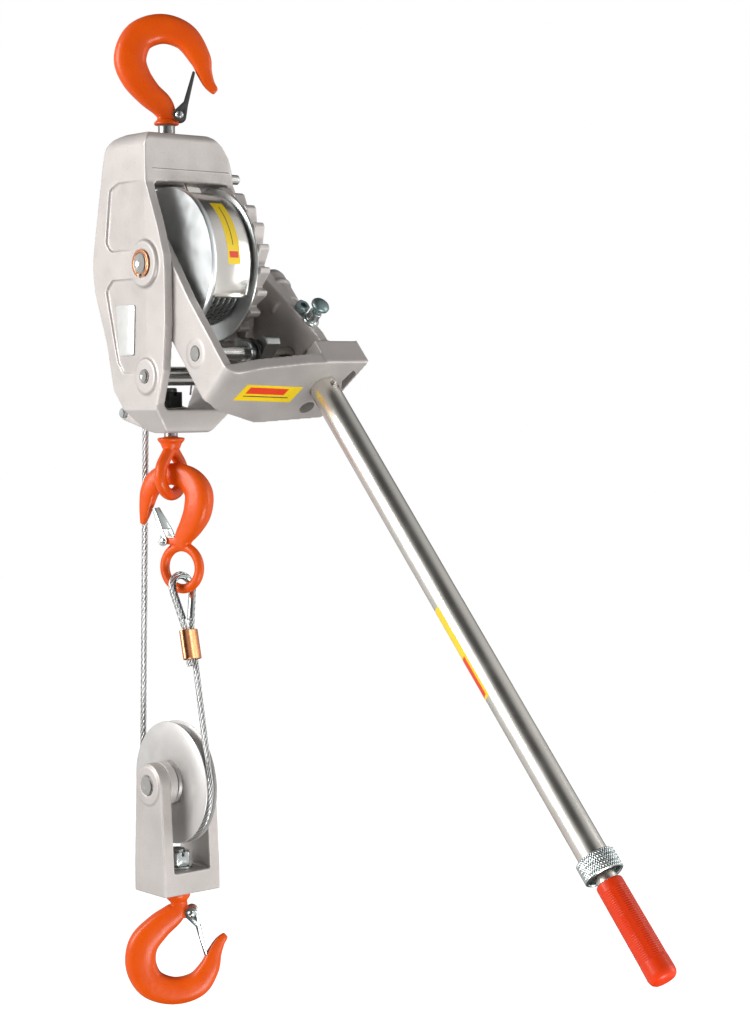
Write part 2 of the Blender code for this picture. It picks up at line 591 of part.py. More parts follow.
def build_handle():
    tube = turned([(TUBE_R, -TUBE_S0), (TUBE_R, -TUBE_S1), (TUBE_R - TUBE_WALL, -TUBE_S1),
                   (TUBE_R - TUBE_WALL, -TUBE_S0)], 28, closed=True)
    tube = cut(tube, rod(HANDLE_PIN_R + GAP, -30, 30, "y", (0, -HANDLE_PIN_S), 20))
    on_yoke("handle_tube", moved(tube, TUBE_X), ZINC)
    shoulder, mouth = -(TUBE_S1 + 1.5), -(TUBE_S1 + 5.5)
    collar = turned([(TUBE_R + GAP, -COLLAR_S0), (COLLAR_R - 0.6, -COLLAR_S0),
                     (COLLAR_R, -(COLLAR_S0 + 0.8)), (COLLAR_R, -(COLLAR_S1 - 0.6)),
                     (COLLAR_R - 0.6, -COLLAR_S1), (COLLAR_R - 2.2, -COLLAR_S1), (COLLAR_R - 2.6, mouth),
                     (9.9, mouth), (9.9, shoulder), (TUBE_R + GAP, shoulder)], 24, closed=True)
    on_yoke("handle_collar", moved(collar, TUBE_X), ZINC)
    inner_end = -(GRIP_S1 - 6)
    inner = turned([(9.5, -290.0), (9.5, inner_end), (8.0, inner_end), (8.0, -290.0)], 18, closed=True)
    on_yoke("extension_tube", moved(inner, TUBE_X), ZINC)
    profile = [(0, -GRIP_S0), (11.4, -GRIP_S0), (12.1, -(GRIP_S0 + 1.2)), (12.9, -(GRIP_S1 - 6)),
               (11.3, -(GRIP_S1 - 1.5)), (8.5, -GRIP_S1), (0, -GRIP_S1)]
    grip = cut(turned(profile, 18), rod(9.8, -(GRIP_S1 - 4), -GRIP_S0 + 10, "z", sides=18))
    on_yoke("grip", moved(grip, TUBE_X), VINYL)


# ---------------------------------------------------------------- hooks

# Centre lines and radii of the hooks: (x, z, radius)
TOP_HOOK = [(-1, 136, 8.2), (0, 146, 9.5), (-5, 156, 11.5), (-17, 167, 12.5), (-30, 183, 14.5),
            (-35, 203, 15.5), (-25, 222, 15), (-3, 229.7, 14.4), (19, 222, 13), (32.5, 203, 10.5),
            (40, 186, 7.5), (46.5, 172, 4), (48, 168.5, 2)]
BLOCK_HOOK = [(0, -616, 8.2), (1, -627, 8.6), (-5, -635, 11), (-20, -647, 13), (-35, -664, 14.8),
              (-37.5, -685, 15.5), (-27, -704, 15), (-5, -711.8, 14), (17, -706, 12.8), (30, -690, 9.6),
              (36, -675, 7), (44, -661, 3.6), (46.5, -657.5, 1.8)]
CABLE_HOOK = [(11, -272, 8), (14, -262, 9.4), (23, -250, 12), (30.5, -236, 14), (32, -219, 14),
              (21, -206, 12.4), (1, -200.8, 10.7), (-16, -205.5, 10.4), (-26, -217, 9.6), (-30.5, -231, 7.6),
              (-33.5, -243, 5), (-36, -250.5, 2.6)]


def hook_body(points):
    """A tapered hook, flattened across its plane; drawn with x in the plane and z up."""
    line = blend([(x, 0.0, z, r) for x, z, r in points], 2)
    mesh = pipe([tuple(p) for p in line], 10.0, 2)
    mesh.transform(Matrix.Scale(HOOK_FLATTEN, 4, (0, 1, 0)))
    return mesh


def latch_plate(start, end, width, thickness):
    """A sprung latch: a folded strip from its pivot to the hook's tip, with two ears."""
    along = Vector((end[0] - start[0], end[1] - start[1]))
    side = Vector((-along.y, along.x)).normalized()
    a, b = Vector(start), Vector(end)
    strip = [a + side * thickness, b + side * thickness, b - side * thickness, a - side * thickness]
    return outline([(p.x, p.y) for p in strip], -width / 2, width / 2, "xz")


def build_hook(prefix, body, pivot, tip, ear_r, finish, latch_gap, face=HOOK_TURN):
    """Hook, latch and latch pin; the pivot is in the hook's own plane."""
    boss = rod(ear_r - 1.2, -6.4, 6.4, "y", pivot, 14)
    root = pivot[0] - 14 * pivot[0] / abs(pivot[0])
    low, high = pivot[1] - ear_r + 1.6, pivot[1] + ear_r - 1.6
    lug = outline([(root, low), (pivot[0], low), (pivot[0], high), (root, high)], -6.1, 6.1, "xz")
    body = cut(joined(body, boss, lug), rod(LATCH_PIN_R + GAP, -30, 30, "y", pivot, 16))
    on_hook_line(prefix + "_hook", body, ORANGE, turn=face)
    ears = []
    for side in (-1, 1):
        low, high = sorted((side * 6.8, side * 8.5))
        ears.append(rod(ear_r, low, high, "y", (0, 0), 14))
    reach = Vector((tip[0] - pivot[0], tip[1] - pivot[1]))
    unit = reach.normalized()
    side = Vector((-unit.y, unit.x)) * latch_gap
    start = unit * (ear_r + 8.6)
    web = latch_plate(start + side, reach, 2 * 8.2, 0.8)
    arms = []
    for s in (-1, 1):
        low, high = sorted((s * 6.95, s * 8.35))
        corner = unit * (ear_r * 0.2)
        square = side.normalized()
        foot = start + unit * 4
        corners = [corner + square * 3.0, foot + side * 1.15, foot + side * 0.85 - square * 0.6,
                   corner - square * 3.5]
        arms.append(outline([tuple(spot) for spot in corners], low, high, "xz"))
    latch = joined(ears[0], arms[0], web, arms[1], ears[1])
    latch = cut(latch, rod(LATCH_PIN_R + GAP, -30, 30, "y", (0, 0), 16))
    spot = Matrix.Rotation(radians(face), 4, "Z") @ Vector((pivot[0], 0, pivot[1]))
    part(prefix + "_latch", latch, finish, (spot.x, spot.y, spot.z + AXLE_Z), (0, 0, face))
    pin = joined(rod(LATCH_PIN_R, -10.0, 10.0, "y", pivot, 14), rod(3.6, -10.4, -8.8, "y", pivot, 14),
                 rod(3.6, 8.8, 10.4, "y", pivot, 14))
    on_hook_line(prefix + "_latch_pin", pin, ZINC, turn=face)


def build_top_hook():
    neck = turned([(0, 139), (11.0, 138.6), (12.2, 137.6), (12.2, 135.0), (10.0, 133.6),
                   (TOP_SHANK_R, 133.0), (TOP_SHANK_R, 81.0), (7.4, 80.2), (0, 80.2)], 18)
    body = joined(hook_body(TOP_HOOK), neck)
    build_hook("top", body, (12.8, 145.6), (27.0, 187.0), 6.4, DARK, 4.0)
    nut = cut(hexagon(25.0, 81.5, 92.5), rod(TOP_SHANK_R + GAP, 60, 100, "z"))
    on_hook_line("top_hook_nut", nut, DARK)
    on_hook_line("top_hook_washer", ring(16.5, TOP_SHANK_R + GAP, 93.2, 96.4, "z", 18), STEEL)


def build_block_hook():
    neck = turned([(0, -568.5), (7.0, -568.5), (BLOCK_SHANK_R, -569.5), (BLOCK_SHANK_R, -610.6),
                   (12.2, -611.0), (12.2, -617.5), (9.0, -621), (0, -621)], 18)
    body = joined(hook_body(BLOCK_HOOK), neck)
    build_hook("block", body, (13.5, -633.0), (26.5, -675.0), 6.5, ZINC, -4.0)
    nut = cut(hexagon(24.0, -585.0, -571.5), rod(BLOCK_SHANK_R + GAP, -600, -500, "z"))
    on_hook_line("block_hook_nut", nut, ZINC)
    on_hook_line("block_hook_washer", ring(15.0, BLOCK_SHANK_R + GAP, -587.7, -585.4, "z", 18), ZINC)


def build_cable_hook():
    circle = [(CABLE_EYE_X + CABLE_EYE_R * cos(a), 0.0, CABLE_EYE_Z + CABLE_EYE_R * sin(a))
              for a in [2 * pi * i / 20 for i in range(20)]]
    body = joined(hook_body(CABLE_HOOK), pipe(circle, CABLE_EYE_WIRE, 2, cyclic=True))
    build_hook("cable", body, (-6.0, -266.0), (-19.5, -234.5), 5.0, ZINC, 3.0, CABLE_TURN)


def build_anchor_eye():
    circle = [(EYE_RING_R * cos(a), 0.0, EYE_RING_Z + EYE_RING_R * sin(a))
              for a in [2 * pi * i / 20 for i in range(20)]]
    shank = turned([(0, -117.0), (5.8, -117.0), (EYE_SHANK_R, -118.0), (EYE_SHANK_R, -165.0),
                    (12.5, -165.5), (13.2, -167.5), (12.5, -171.5), (9.0, -177.0), (0, -179.5)], 18)
    eye = joined(shank, pipe(circle, EYE_WIRE, 2, cyclic=True))
    on_hook_line("anchor_eye", eye, ORANGE, turn=EYE_TURN)
    nut = cut(hexagon(22.0, -136.0, -121.0), rod(EYE_SHANK_R + GAP, -160, -100, "z"))
    on_hook_line("anchor_eye_nut", nut, DARK)
    on_hook_line("anchor_eye_washer", ring(14.0, EYE_SHANK_R + GAP, -137.7, -136.3, "z", 18), ZINC)


# ---------------------------------------------------------------- rope and end fitting

LOOP_R, THIMBLE_R = 14.2, 9.4
LOOP_TURN = 10.0
SLEEVE_TOP, SLEEVE_BOTTOM = -352.0, -380.0
EYE_SPOT = Matrix.Rotation(radians(CABLE_TURN), 4, "Z") @ Vector((CABLE_EYE_X, 0, 0))
LOOP_CENTRE = Vector((EYE_SPOT.x, EYE_SPOT.y, CABLE_EYE_Z - CABLE_EYE_R))
DRUM_TANGENT = Vector((FALL_X, AXLE_Y + FALL_Y_TOP, -14.0))


def sheave_angle(point, side):
    """Angle round the sheave, from +y towards +z, at which a straight fall from a point meets it."""
    away = Vector((point.y, point.z + BLOCK_PIN_DROP))
    return atan2(away.y, away.x) - side * acos(SHEAVE_ROPE_R / away.length)


def sheave_point(angle):
    return Vector((0.0, SHEAVE_ROPE_R * cos(angle), SHEAVE_ROPE_R * sin(angle) - BLOCK_PIN_DROP))


FRONT_ANGLE = sheave_angle(LOOP_CENTRE, -1)
BACK_ANGLE = sheave_angle(DRUM_TANGENT, 1)
FALL_DIRECTION = (sheave_point(FRONT_ANGLE) - LOOP_CENTRE).normalized()


def loop_frame():
    """Axes of the rope loop: down along the fall, and across in the loop's own plane."""
    level = Vector((cos(radians(LOOP_TURN)), sin(radians(LOOP_TURN)), 0))
    across = level - FALL_DIRECTION * FALL_DIRECTION.dot(level)
    return FALL_DIRECTION, across.normalized()


def loop_point(across_mm, down_mm):
    down, across = loop_frame()
    return LOOP_CENTRE + down * down_mm + across * across_mm


def drop_to(z):
    """Distance along the fall from the loop's centre to a height."""
    return (z - LOOP_CENTRE.z) / FALL_DIRECTION.z


def teardrop(radius, tip_half, tip_down, leg_end, steps=12):
    """One side to the other of a drop shape: straight legs below, a round top."""
    angle = 14.0
    points = [(-tip_half, leg_end), (-tip_half, tip_down)]
    for i in range(steps + 1):
        a = radians(180 + angle - (180 + 2 * angle) * i / steps)
        points.append((radius * cos(a), -radius * sin(a)))
    points += [(tip_half, tip_down)]
    return points


def build_rope_end():
    half = ROPE_R + 0.15
    top = drop_to(SLEEVE_TOP) + 2.0
    bottom = drop_to(SLEEVE_BOTTOM)
    dead_end = (-half - 1.4, bottom + 6.0)
    path = [dead_end] + teardrop(LOOP_R, half, top, bottom)[1:] + [(half, bottom + 0.5)]
    on_axle_line("rope_loop", pipe([tuple(loop_point(u, v)) for u, v in path], ROPE_R - 0.05, 2), ROPE)
    inner = teardrop(THIMBLE_R, 2.0, 28.0, 28.0)[1:]
    on_axle_line("thimble", pipe([tuple(loop_point(u, v)) for u, v in inner], 1.5, 1), ZINC)
    down, across = loop_frame()
    length = bottom - drop_to(SLEEVE_TOP)
    sleeve = ring(10.8, 8.2, -length, 0.0, "z", 18, edge=1.2)
    sleeve.transform(Matrix.Scale(0.62, 4, (0, 1, 0)))
    start = loop_point(0, drop_to(SLEEVE_TOP))
    normal = down.cross(across)
    turn = Matrix((across, normal, -down)).transposed()
    if turn.determinant() < 0:
        turn = Matrix((across, -normal, -down)).transposed()
    sleeve.transform(Matrix.Translation(start * MM) @ turn.to_4x4())
    on_axle_line("rope_sleeve", sleeve, COPPER)
    begin = loop_point(half, bottom + 1.2)
    finish = sheave_point(FRONT_ANGLE) - FALL_DIRECTION * 1.2
    on_axle_line("rope_fall_right", pipe([tuple(begin), tuple(finish)], ROPE_R, 2), ROPE)


def on_axle_line(name, mesh, finish):
    """Pieces drawn with x and y from the hook line and z from the axle."""
    return part(name, mesh, finish, (0.0, 0.0, AXLE_Z))


def build_falls():
    steps = 16
    sweep = BACK_ANGLE + 2 * pi - FRONT_ANGLE
    bend = [tuple(sheave_point(FRONT_ANGLE + sweep * i / steps)) for i in range(steps + 1)]
    on_axle_line("rope_in_sheave", pipe(bend, ROPE_R, 2), ROPE)
    end = sheave_point(BACK_ANGLE)
    end += (DRUM_TANGENT - end).normalized() * 1.2
    on_axle_line("rope_fall_left", pipe([tuple(DRUM_TANGENT), tuple(end)], ROPE_R, 2), ROPE)


# ---------------------------------------------------------------- sheave block

def block_frame():
    half = BLOCK_HALF_Y
    side = [(-half, BASE_BOTTOM), (half, BASE_BOTTOM), (half, BASE_TOP), (22.5, -523)]
    side += arc(0, -BLOCK_PIN_DROP, 21.5, 0, 180, 14) + [(-22.5, -523), (-half, BASE_TOP)]
    body = outline(side, -CHEEK_X1, CHEEK_X1, "yz")
    body = cut(body, box((-CHEEK_X0, CHEEK_X0), (-50, 50), (BASE_TOP, -450)),
               rod(PIN_R + GAP, -60, 60, "x", (0, -BLOCK_PIN_DROP)),
               rod(BLOCK_SHANK_R + GAP, -640, -560, "z"))
    rim = ring(19.0, PIN_R + GAP, -1.6, 0.4, "x", 26)
    left = moved(rim, -CHEEK_X1, 0, -BLOCK_PIN_DROP)
    return joined(body, left)


def build_block():
    on_axle_line("block_frame", block_frame(), CAST)
    groove = SHEAVE_GROOVE
    half = SHEAVE_T / 2
    dish = ROPE_R + 0.7
    floor = [(groove + dish * (1 - sin(a)), dish * cos(a)) for a in [radians(v) for v in range(0, 181, 36)]]
    profile = [(13.0, half + 3), (20, half + 3), (20, half), (SHEAVE_R, half)]
    profile += floor
    profile += [(SHEAVE_R, -half), (20, -half), (20, -half - 3), (13.0, -half - 3)]
    on_axle_line("sheave", moved(turned(profile, 30, "x", closed=True), 0, 0, -BLOCK_PIN_DROP), CAST)
    on_axle_line("sheave_pin", moved(shaft(PIN_R, -36.0, 34.5, 0.8), 0, 0, -BLOCK_PIN_DROP), STEEL)
    rings = (("sheave_bushing", 13.0 - GAP, -11, 11, BRONZE),
             ("sheave_washer_left", 14.5, -20.6, -11.5, STEEL),
             ("sheave_washer_right", 14.5, 11.5, 20.6, STEEL))
    for name, radius, low, high, finish in rings:
        made = ring(radius, PIN_R + GAP, low, high, "x", 18)
        on_axle_line(name, moved(made, 0, 0, -BLOCK_PIN_DROP), finish)


build_frame()
build_drum()
build_keeper()
build_yoke()
build_plunger()
build_pawls()
build_handle()
build_top_hook()
build_anchor_eye()
build_cable_hook()
build_rope_end()
build_falls()
build_block()
build_block_hook()
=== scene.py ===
"""Come along winch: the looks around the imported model.

Shapes are drawn in millimetres and scaled as meshes are made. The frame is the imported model's own:
origin at the saddle of the top hook, +Z up, +X along the drum axle towards the handle side.
"""
import json
from math import acos, atan2, cos, pi, radians, sin, sqrt

import bmesh
import bpy
import numpy as np
from mathutils import Matrix, Vector


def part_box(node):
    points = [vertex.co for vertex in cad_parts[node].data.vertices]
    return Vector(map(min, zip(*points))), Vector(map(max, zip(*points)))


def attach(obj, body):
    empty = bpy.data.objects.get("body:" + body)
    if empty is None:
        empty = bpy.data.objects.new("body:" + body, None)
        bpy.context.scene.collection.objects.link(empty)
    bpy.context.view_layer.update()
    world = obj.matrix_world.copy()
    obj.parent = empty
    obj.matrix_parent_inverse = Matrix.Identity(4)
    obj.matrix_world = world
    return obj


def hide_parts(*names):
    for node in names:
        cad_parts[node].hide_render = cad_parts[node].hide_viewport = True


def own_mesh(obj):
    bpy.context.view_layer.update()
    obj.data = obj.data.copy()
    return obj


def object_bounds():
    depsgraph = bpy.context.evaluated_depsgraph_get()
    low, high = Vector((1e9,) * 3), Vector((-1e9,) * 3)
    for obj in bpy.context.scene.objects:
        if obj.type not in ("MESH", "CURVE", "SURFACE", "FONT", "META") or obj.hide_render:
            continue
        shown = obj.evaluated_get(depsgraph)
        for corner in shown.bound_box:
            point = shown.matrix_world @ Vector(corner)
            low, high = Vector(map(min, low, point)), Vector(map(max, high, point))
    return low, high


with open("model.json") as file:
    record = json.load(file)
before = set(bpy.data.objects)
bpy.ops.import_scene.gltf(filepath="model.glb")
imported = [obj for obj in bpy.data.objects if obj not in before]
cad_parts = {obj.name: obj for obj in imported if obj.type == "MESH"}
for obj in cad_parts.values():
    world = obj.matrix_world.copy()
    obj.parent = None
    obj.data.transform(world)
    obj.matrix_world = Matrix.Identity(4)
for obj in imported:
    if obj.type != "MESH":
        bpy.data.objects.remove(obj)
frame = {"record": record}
CAD_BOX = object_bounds()

MM = 0.001
BODY_OF = {node: body for body, nodes in frame["record"]["behaviour"]["bodies"].items() for node in nodes}

# Driving sizes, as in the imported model
AXLE_Y, AXLE_Z = -36.0, -215.0
CROSS_DROP = 106.0
BLOCK_DROP = 503.0
HANDLE_ANGLE = 41.8
HOOK_TURN = -36.0
EYE_TURN, CABLE_TURN, LOOP_TURN = 21.0, -71.0, 10.0
CABLE_EYE_X = 11.0
HALF, PLATE = 52.0, 9.0
SHAFT_R = 10.0
FLANGE_R = 73.3
DRUM_LEFT, DRUM_RIGHT = -20.3, 24.3
WRAP_R = 58.0
ROPE_R = 3.175
LAY = 38.0
BAND_R, BAND_T, BAND_X0, BAND_X1 = 69.2, 1.2, -19.0, 20.0
ROD_Y, ROD_Z = 8.0, 85.0
WHEEL_TIP, WHEEL_ROOT, WHEEL_TEETH, WHEEL_PHASE = 75.5, 66.5, 21, 11.8
TUBE_X, TUBE_R, TUBE_S0, TUBE_S1 = 76.8, 13.6, 133.0, 691.0
COLLAR_S0, COLLAR_S1, COLLAR_R = 687.0, 705.5, 17.6
GRIP_S0, GRIP_S1 = 711.6, 806.0
PAWL_S, PAWL_N, PAWL_R = 108.0, -8.0, 7.3
PLUNGER_X = 70.8
SHEAVE_ROPE_R = 57.1
FALL_X = -8.0

# The studio, in metres and degrees
CAMERA_PLACE = (-1.2353, -1.7627, -0.3368)
CAMERA_AZIMUTH, CAMERA_PITCH, CAMERA_ROLL = 40.3, 3.1, -0.55
LENS, SENSOR = 77.65, 36.0
WALLS_AT = 46.0             # the line between the bright side walls, turned from the drum axle
FLOOR_RADIUS = 9.0
FLOOR_DROP = 0.32           # below the box, clear of the fully drawn handle at any swing

# Voxel sizes of the remeshed pieces, and the angles past which an edge stays sharp
FRAME_VOXEL, WHEEL_VOXEL, FORGED_VOXEL = 1.0, 0.9, 0.7
CAST_SHARP, FORGED_SHARP, SLEEVE_SHARP, ROPE_SHARP = 45, 50, 60, 80

LINE_FRAME = Matrix.Translation((0, 0, AXLE_Z * MM))
AXLE_FRAME = Matrix.Translation((0, AXLE_Y * MM, AXLE_Z * MM))
YOKE_FRAME = AXLE_FRAME @ Matrix.Rotation(radians(-HANDLE_ANGLE), 4, "X")
TUBE_FRAME = YOKE_FRAME @ Matrix.Translation((TUBE_X * MM, 0, 0))
HOOK_FRAME = LINE_FRAME @ Matrix.Rotation(radians(HOOK_TURN), 4, "Z")
CABLE_FRAME = LINE_FRAME @ Matrix.Rotation(radians(CABLE_TURN), 4, "Z")
EYE_FRAME = LINE_FRAME @ Matrix.Rotation(radians(EYE_TURN), 4, "Z")
BLOCK_AXLE = LINE_FRAME @ Matrix.Translation((0, 0, -BLOCK_DROP * MM))


# ---------------------------------------------------------------- camera, lights and floor

def camera():
    """A long lens from the front left, a little above the middle of the hoist."""
    azimuth, pitch, roll = radians(CAMERA_AZIMUTH), radians(CAMERA_PITCH), radians(CAMERA_ROLL)
    right = Vector((cos(azimuth), -sin(azimuth), 0))
    ahead = Vector((sin(azimuth) * cos(pitch), cos(azimuth) * cos(pitch), -sin(pitch)))
    up = right.cross(ahead)
    across = right * cos(roll) + up * sin(roll)
    above = up * cos(roll) - right * sin(roll)
    data = bpy.data.cameras.new("camera")
    data.lens = LENS
    data.sensor_width = SENSOR
    made = bpy.data.objects.new("camera", data)
    turn = Matrix((across, above, -ahead)).transposed().to_4x4()
    made.matrix_world = Matrix.Translation(CAMERA_PLACE) @ turn
    bpy.context.scene.collection.objects.link(made)
    bpy.context.scene.camera = made


def soft_light(name, place, size, power, aim=(0, -0.15, -0.5)):
    data = bpy.data.lights.new(name, "AREA")
    data.shape = "RECTANGLE"
    data.size, data.size_y = size
    data.energy = power
    made = bpy.data.objects.new(name, data)
    made.location = place
    made.rotation_euler = (Vector(aim) - Vector(place)).to_track_quat("-Z", "Y").to_euler()
    made.visible_camera = False
    bpy.context.scene.collection.objects.link(made)


def studio():
    """White to the eye; to the metal two bright side walls, dim between them and above and below."""
    world = bpy.data.worlds.new("studio")
    bpy.context.scene.world = world
    world.use_nodes = True
    nodes, links = world.node_tree.nodes, world.node_tree.links
    nodes.clear()
    coords = nodes.new("ShaderNodeTexCoord")
    across = nodes.new("ShaderNodeVectorMath")
    across.operation = "DOT_PRODUCT"
    across.inputs[1].default_value = (cos(radians(WALLS_AT)), -sin(radians(WALLS_AT)), 0)
    links.new(coords.outputs["Generated"], across.inputs[0])
    ramp = nodes.new("ShaderNodeValToRGB")
    aside = nodes.new("ShaderNodeMath")
    aside.operation = "ABSOLUTE"
    links.new(across.outputs["Value"], aside.inputs[0])
    links.new(aside.outputs[0], ramp.inputs[0])
    stops = ((0.0, 0.05), (0.28, 0.07), (0.52, 0.50), (0.75, 0.70), (1.0, 0.66))
    while len(ramp.color_ramp.elements) < len(stops):
        ramp.color_ramp.elements.new(0.5)
    for element, (place, grey) in zip(ramp.color_ramp.elements, stops):
        element.position = place
        element.color = (grey, grey, grey, 1)
    path = nodes.new("ShaderNodeLightPath")
    pick = nodes.new("ShaderNodeMix")
    pick.data_type = "RGBA"
    links.new(path.outputs["Is Camera Ray"], pick.inputs[0])
    links.new(ramp.outputs[0], pick.inputs[6])
    pick.inputs[7].default_value = (1, 1, 1, 1)
    background = nodes.new("ShaderNodeBackground")
    links.new(pick.outputs[2], background.inputs[0])
    output = nodes.new("ShaderNodeOutputWorld")
    links.new(background.outputs[0], output.inputs[0])

    soft_light("key", (-2.2, 0.7, 0.2), (1.2, 1.6), 57)
    soft_light("front", (-0.3, -2.0, -1.9), (1.4, 1.0), 40)
    soft_light("side", (1.7, -1.5, -0.2), (0.6, 1.8), 14)
    bpy.context.scene.view_settings.view_transform = "Standard"


def floor():
    data = bpy.data.meshes.new("floor")
    shape = bmesh.new()
    bmesh.ops.create_circle(shape, cap_ends=True, segments=96, radius=FLOOR_RADIUS)
    shape.to_mesh(data)
    shape.free()
    made = bpy.data.objects.new("floor", data)
    made.location = (0, 0, CAD_BOX[0][2] - FLOOR_DROP)
    material = bpy.data.materials.new("floor")
    material.use_nodes = True
    shader = material.node_tree.nodes["Principled BSDF"]
    shader.inputs["Base Color"].default_value = (0.9, 0.9, 0.9, 1)
    shader.inputs["Roughness"].default_value = 0.8
    shader.inputs["Emission Color"].default_value = (1, 1, 1, 1)
    shader.inputs["Emission Strength"].default_value = 0.75
    data.materials.append(material)
    made.visible_glossy = False
    made.visible_diffuse = False
    made.visible_shadow = False
    bpy.context.scene.collection.objects.link(made)


camera()
studio()
floor()


# ---------------------------------------------------------------- surface finishes

class Look:
    """A procedural surface: two tones in drifts, fine grain, rubbed edges and its own roughness."""

    def __init__(self, name, tone, second, metallic, rough, grain=(), drift=60.0, drift_mix=0.6,
                 edge=None, edge_mix=0.5, stretch=(1, 1, 1), coat=0.0, specks=None, detail=4.0):
        self.material = bpy.data.materials.new(name)
        self.material.use_nodes = True
        self.nodes = self.material.node_tree.nodes
        self.links = self.material.node_tree.links
        self.shader = self.nodes["Principled BSDF"]
        self.shader.inputs["Metallic"].default_value = metallic
        self.shader.inputs["Coat Weight"].default_value = coat
        self.shader.inputs["Coat Roughness"].default_value = 0.12
        self.coords = self.nodes.new("ShaderNodeTexCoord").outputs["Object"]
        colour = self.mixed(self.ramped(self.noise(drift, detail), 0.36, 0.66), tone, second, drift_mix)
        if specks:
            scale, low, high, shade = specks
            colour = self.mixed(self.ramped(self.noise(scale, 2.0), low, high), colour, shade, 1.0)
        if edge:
            worn = self.nodes.new("ShaderNodeNewGeometry").outputs["Pointiness"]
            colour = self.mixed(self.ramped(worn, 0.5, 0.56), colour, edge, edge_mix)
        self.colour = colour
        self.links.new(colour, self.shader.inputs["Base Color"])
        self.links.new(self.ranged(self.noise(drift * 2.3, 3.0), rough), self.shader.inputs["Roughness"])
        height = None
        for scale, depth in grain:
            height = self.bumped(self.noise(scale, 2.0, stretch), depth, height)
        self.height = height
        if height:
            self.links.new(height, self.shader.inputs["Normal"])

    def node(self, kind, source, **values):
        """A node whose first input is fed by the source, with its other inputs set by name."""
        made = self.nodes.new("ShaderNode" + kind)
        self.links.new(source, made.inputs[0])
        for name, value in values.items():
            made.inputs[name.replace("_", " ").title()].default_value = value
        return made

    def noise(self, scale, detail, stretch=(1, 1, 1)):
        coords = self.coords
        if stretch != (1, 1, 1):
            coords = self.node("Mapping", coords, scale=stretch).outputs[0]
        return self.node("TexNoise", coords, scale=scale, detail=detail).outputs["Fac"]

    def ranged(self, value, span, low=0.3, high=0.7):
        return self.node("MapRange", value, from_min=low, from_max=high, to_min=span[0],
                         to_max=span[1]).outputs[0]

    def ramped(self, value, low, high):
        return self.ranged(value, (0.0, 1.0), low, high)

    def mixed(self, share, first, second, most):
        scaled = self.node("Math", share)
        scaled.operation = "MULTIPLY"
        scaled.use_clamp = True
        scaled.inputs[1].default_value = most
        made = self.node("Mix", scaled.outputs[0])
        made.data_type = "RGBA"
        for slot, colour in ((6, first), (7, second)):
            if isinstance(colour, tuple):
                made.inputs[slot].default_value = (*colour, 1)
            else:
                self.links.new(colour, made.inputs[slot])
        return made.outputs[2]

    def bumped(self, value, depth, under=None):
        made = self.nodes.new("ShaderNodeBump")
        made.inputs["Distance"].default_value = depth * MM
        self.links.new(value, made.inputs["Height"])
        if under:
            self.links.new(under, made.inputs["Normal"])
        return made.outputs[0]

    def rings(self, centre, scale, depth, distortion=1.5):
        """Fine turning marks round an axis along x through the centre, given in metres."""
        mapping = self.node("Mapping", self.coords, location=[-value for value in centre])
        wave = self.node("TexWave", mapping.outputs[0], scale=scale, distortion=distortion, detail=2.0)
        wave.wave_type = "RINGS"
        wave.rings_direction = "X"
        self.links.new(self.bumped(wave.outputs["Fac"], depth, self.height), self.shader.inputs["Normal"])
        return self

    def wires(self, per_mm, depth):
        """Single wires laid along each strand, from the strand's own running coordinates, and painted shade
        darkening each strand's inner side, in the valleys between strands.
        """
        uv = self.nodes.new("ShaderNodeUVMap")
        uv.uv_map = "strand"
        wave = self.node("TexWave", uv.outputs[0], scale=per_mm, distortion=0.3)
        wave.wave_type = "BANDS"
        wave.bands_direction = "DIAGONAL"
        self.links.new(self.bumped(wave.outputs["Fac"], depth, self.height), self.shader.inputs["Normal"])
        # Painted shade: the side of each strand that faces the core is darkened towards near black.
        inward = self.node("Math", self.node("SeparateXYZ", uv.outputs[0]).outputs["X"])
        inward.operation = "PINGPONG"
        inward.inputs[1].default_value = 0.5
        shaded = self.mixed(self.ramped(inward.outputs[0], 0.12, 0.30), self.colour, PAINTED_STRAND_SHADE, 0.95)
        self.links.new(shaded, self.shader.inputs["Base Color"])
        return self


# Painted shade: the near black laid on the inner side of each rope strand, in the valleys between strands.
PAINTED_STRAND_SHADE = (0.03, 0.032, 0.03)
CAST = Look("cast_aluminium", (0.55, 0.51, 0.485), (0.45, 0.42, 0.40), 0.45, (0.42, 0.58),
            grain=((1500.0, 0.12), (380.0, 0.10)), drift=22.0, drift_mix=0.55, edge=(0.72, 0.69, 0.67),
            edge_mix=0.5, specks=(900.0, 0.66, 0.74, (0.34, 0.32, 0.31)))
MACHINED = Look("machined_aluminium", (0.56, 0.54, 0.52), (0.48, 0.46, 0.45), 0.5, (0.38, 0.5),
                grain=((900.0, 0.05),), drift=40.0, edge=(0.78, 0.77, 0.75))
ENAMEL = Look("orange_enamel", (0.74, 0.088, 0.002), (0.68, 0.070, 0.002), 0.0, (0.24, 0.38),
              grain=((210.0, 0.16), (800.0, 0.03)), drift=45.0, edge=(0.76, 0.12, 0.01), edge_mix=0.35,
              coat=0.05, specks=(420.0, 0.70, 0.76, (0.60, 0.07, 0.012)))
ZINC = Look("zinc_plate", (0.60, 0.65, 0.64), (0.50, 0.56, 0.56), 1.0, (0.16, 0.30),
            grain=((700.0, 0.035),), drift=35.0, edge=(0.8, 0.83, 0.82), edge_mix=0.4)
STEEL = Look("bright_steel", (0.62, 0.61, 0.58), (0.52, 0.51, 0.49), 1.0, (0.14, 0.26),
             grain=((900.0, 0.02),), drift=50.0)
BAND = Look("polished_band", (0.84, 0.81, 0.76), (0.74, 0.71, 0.67), 1.0, (0.16, 0.24),
            grain=((500.0, 0.03),), drift=30.0, stretch=(0.05, 1, 1))
TUBE = Look("plated_tube", (0.80, 0.77, 0.71), (0.70, 0.68, 0.63), 1.0, (0.24, 0.34),
            grain=((600.0, 0.022),), drift=14.0, specks=(700.0, 0.68, 0.75, (0.42, 0.42, 0.39)))
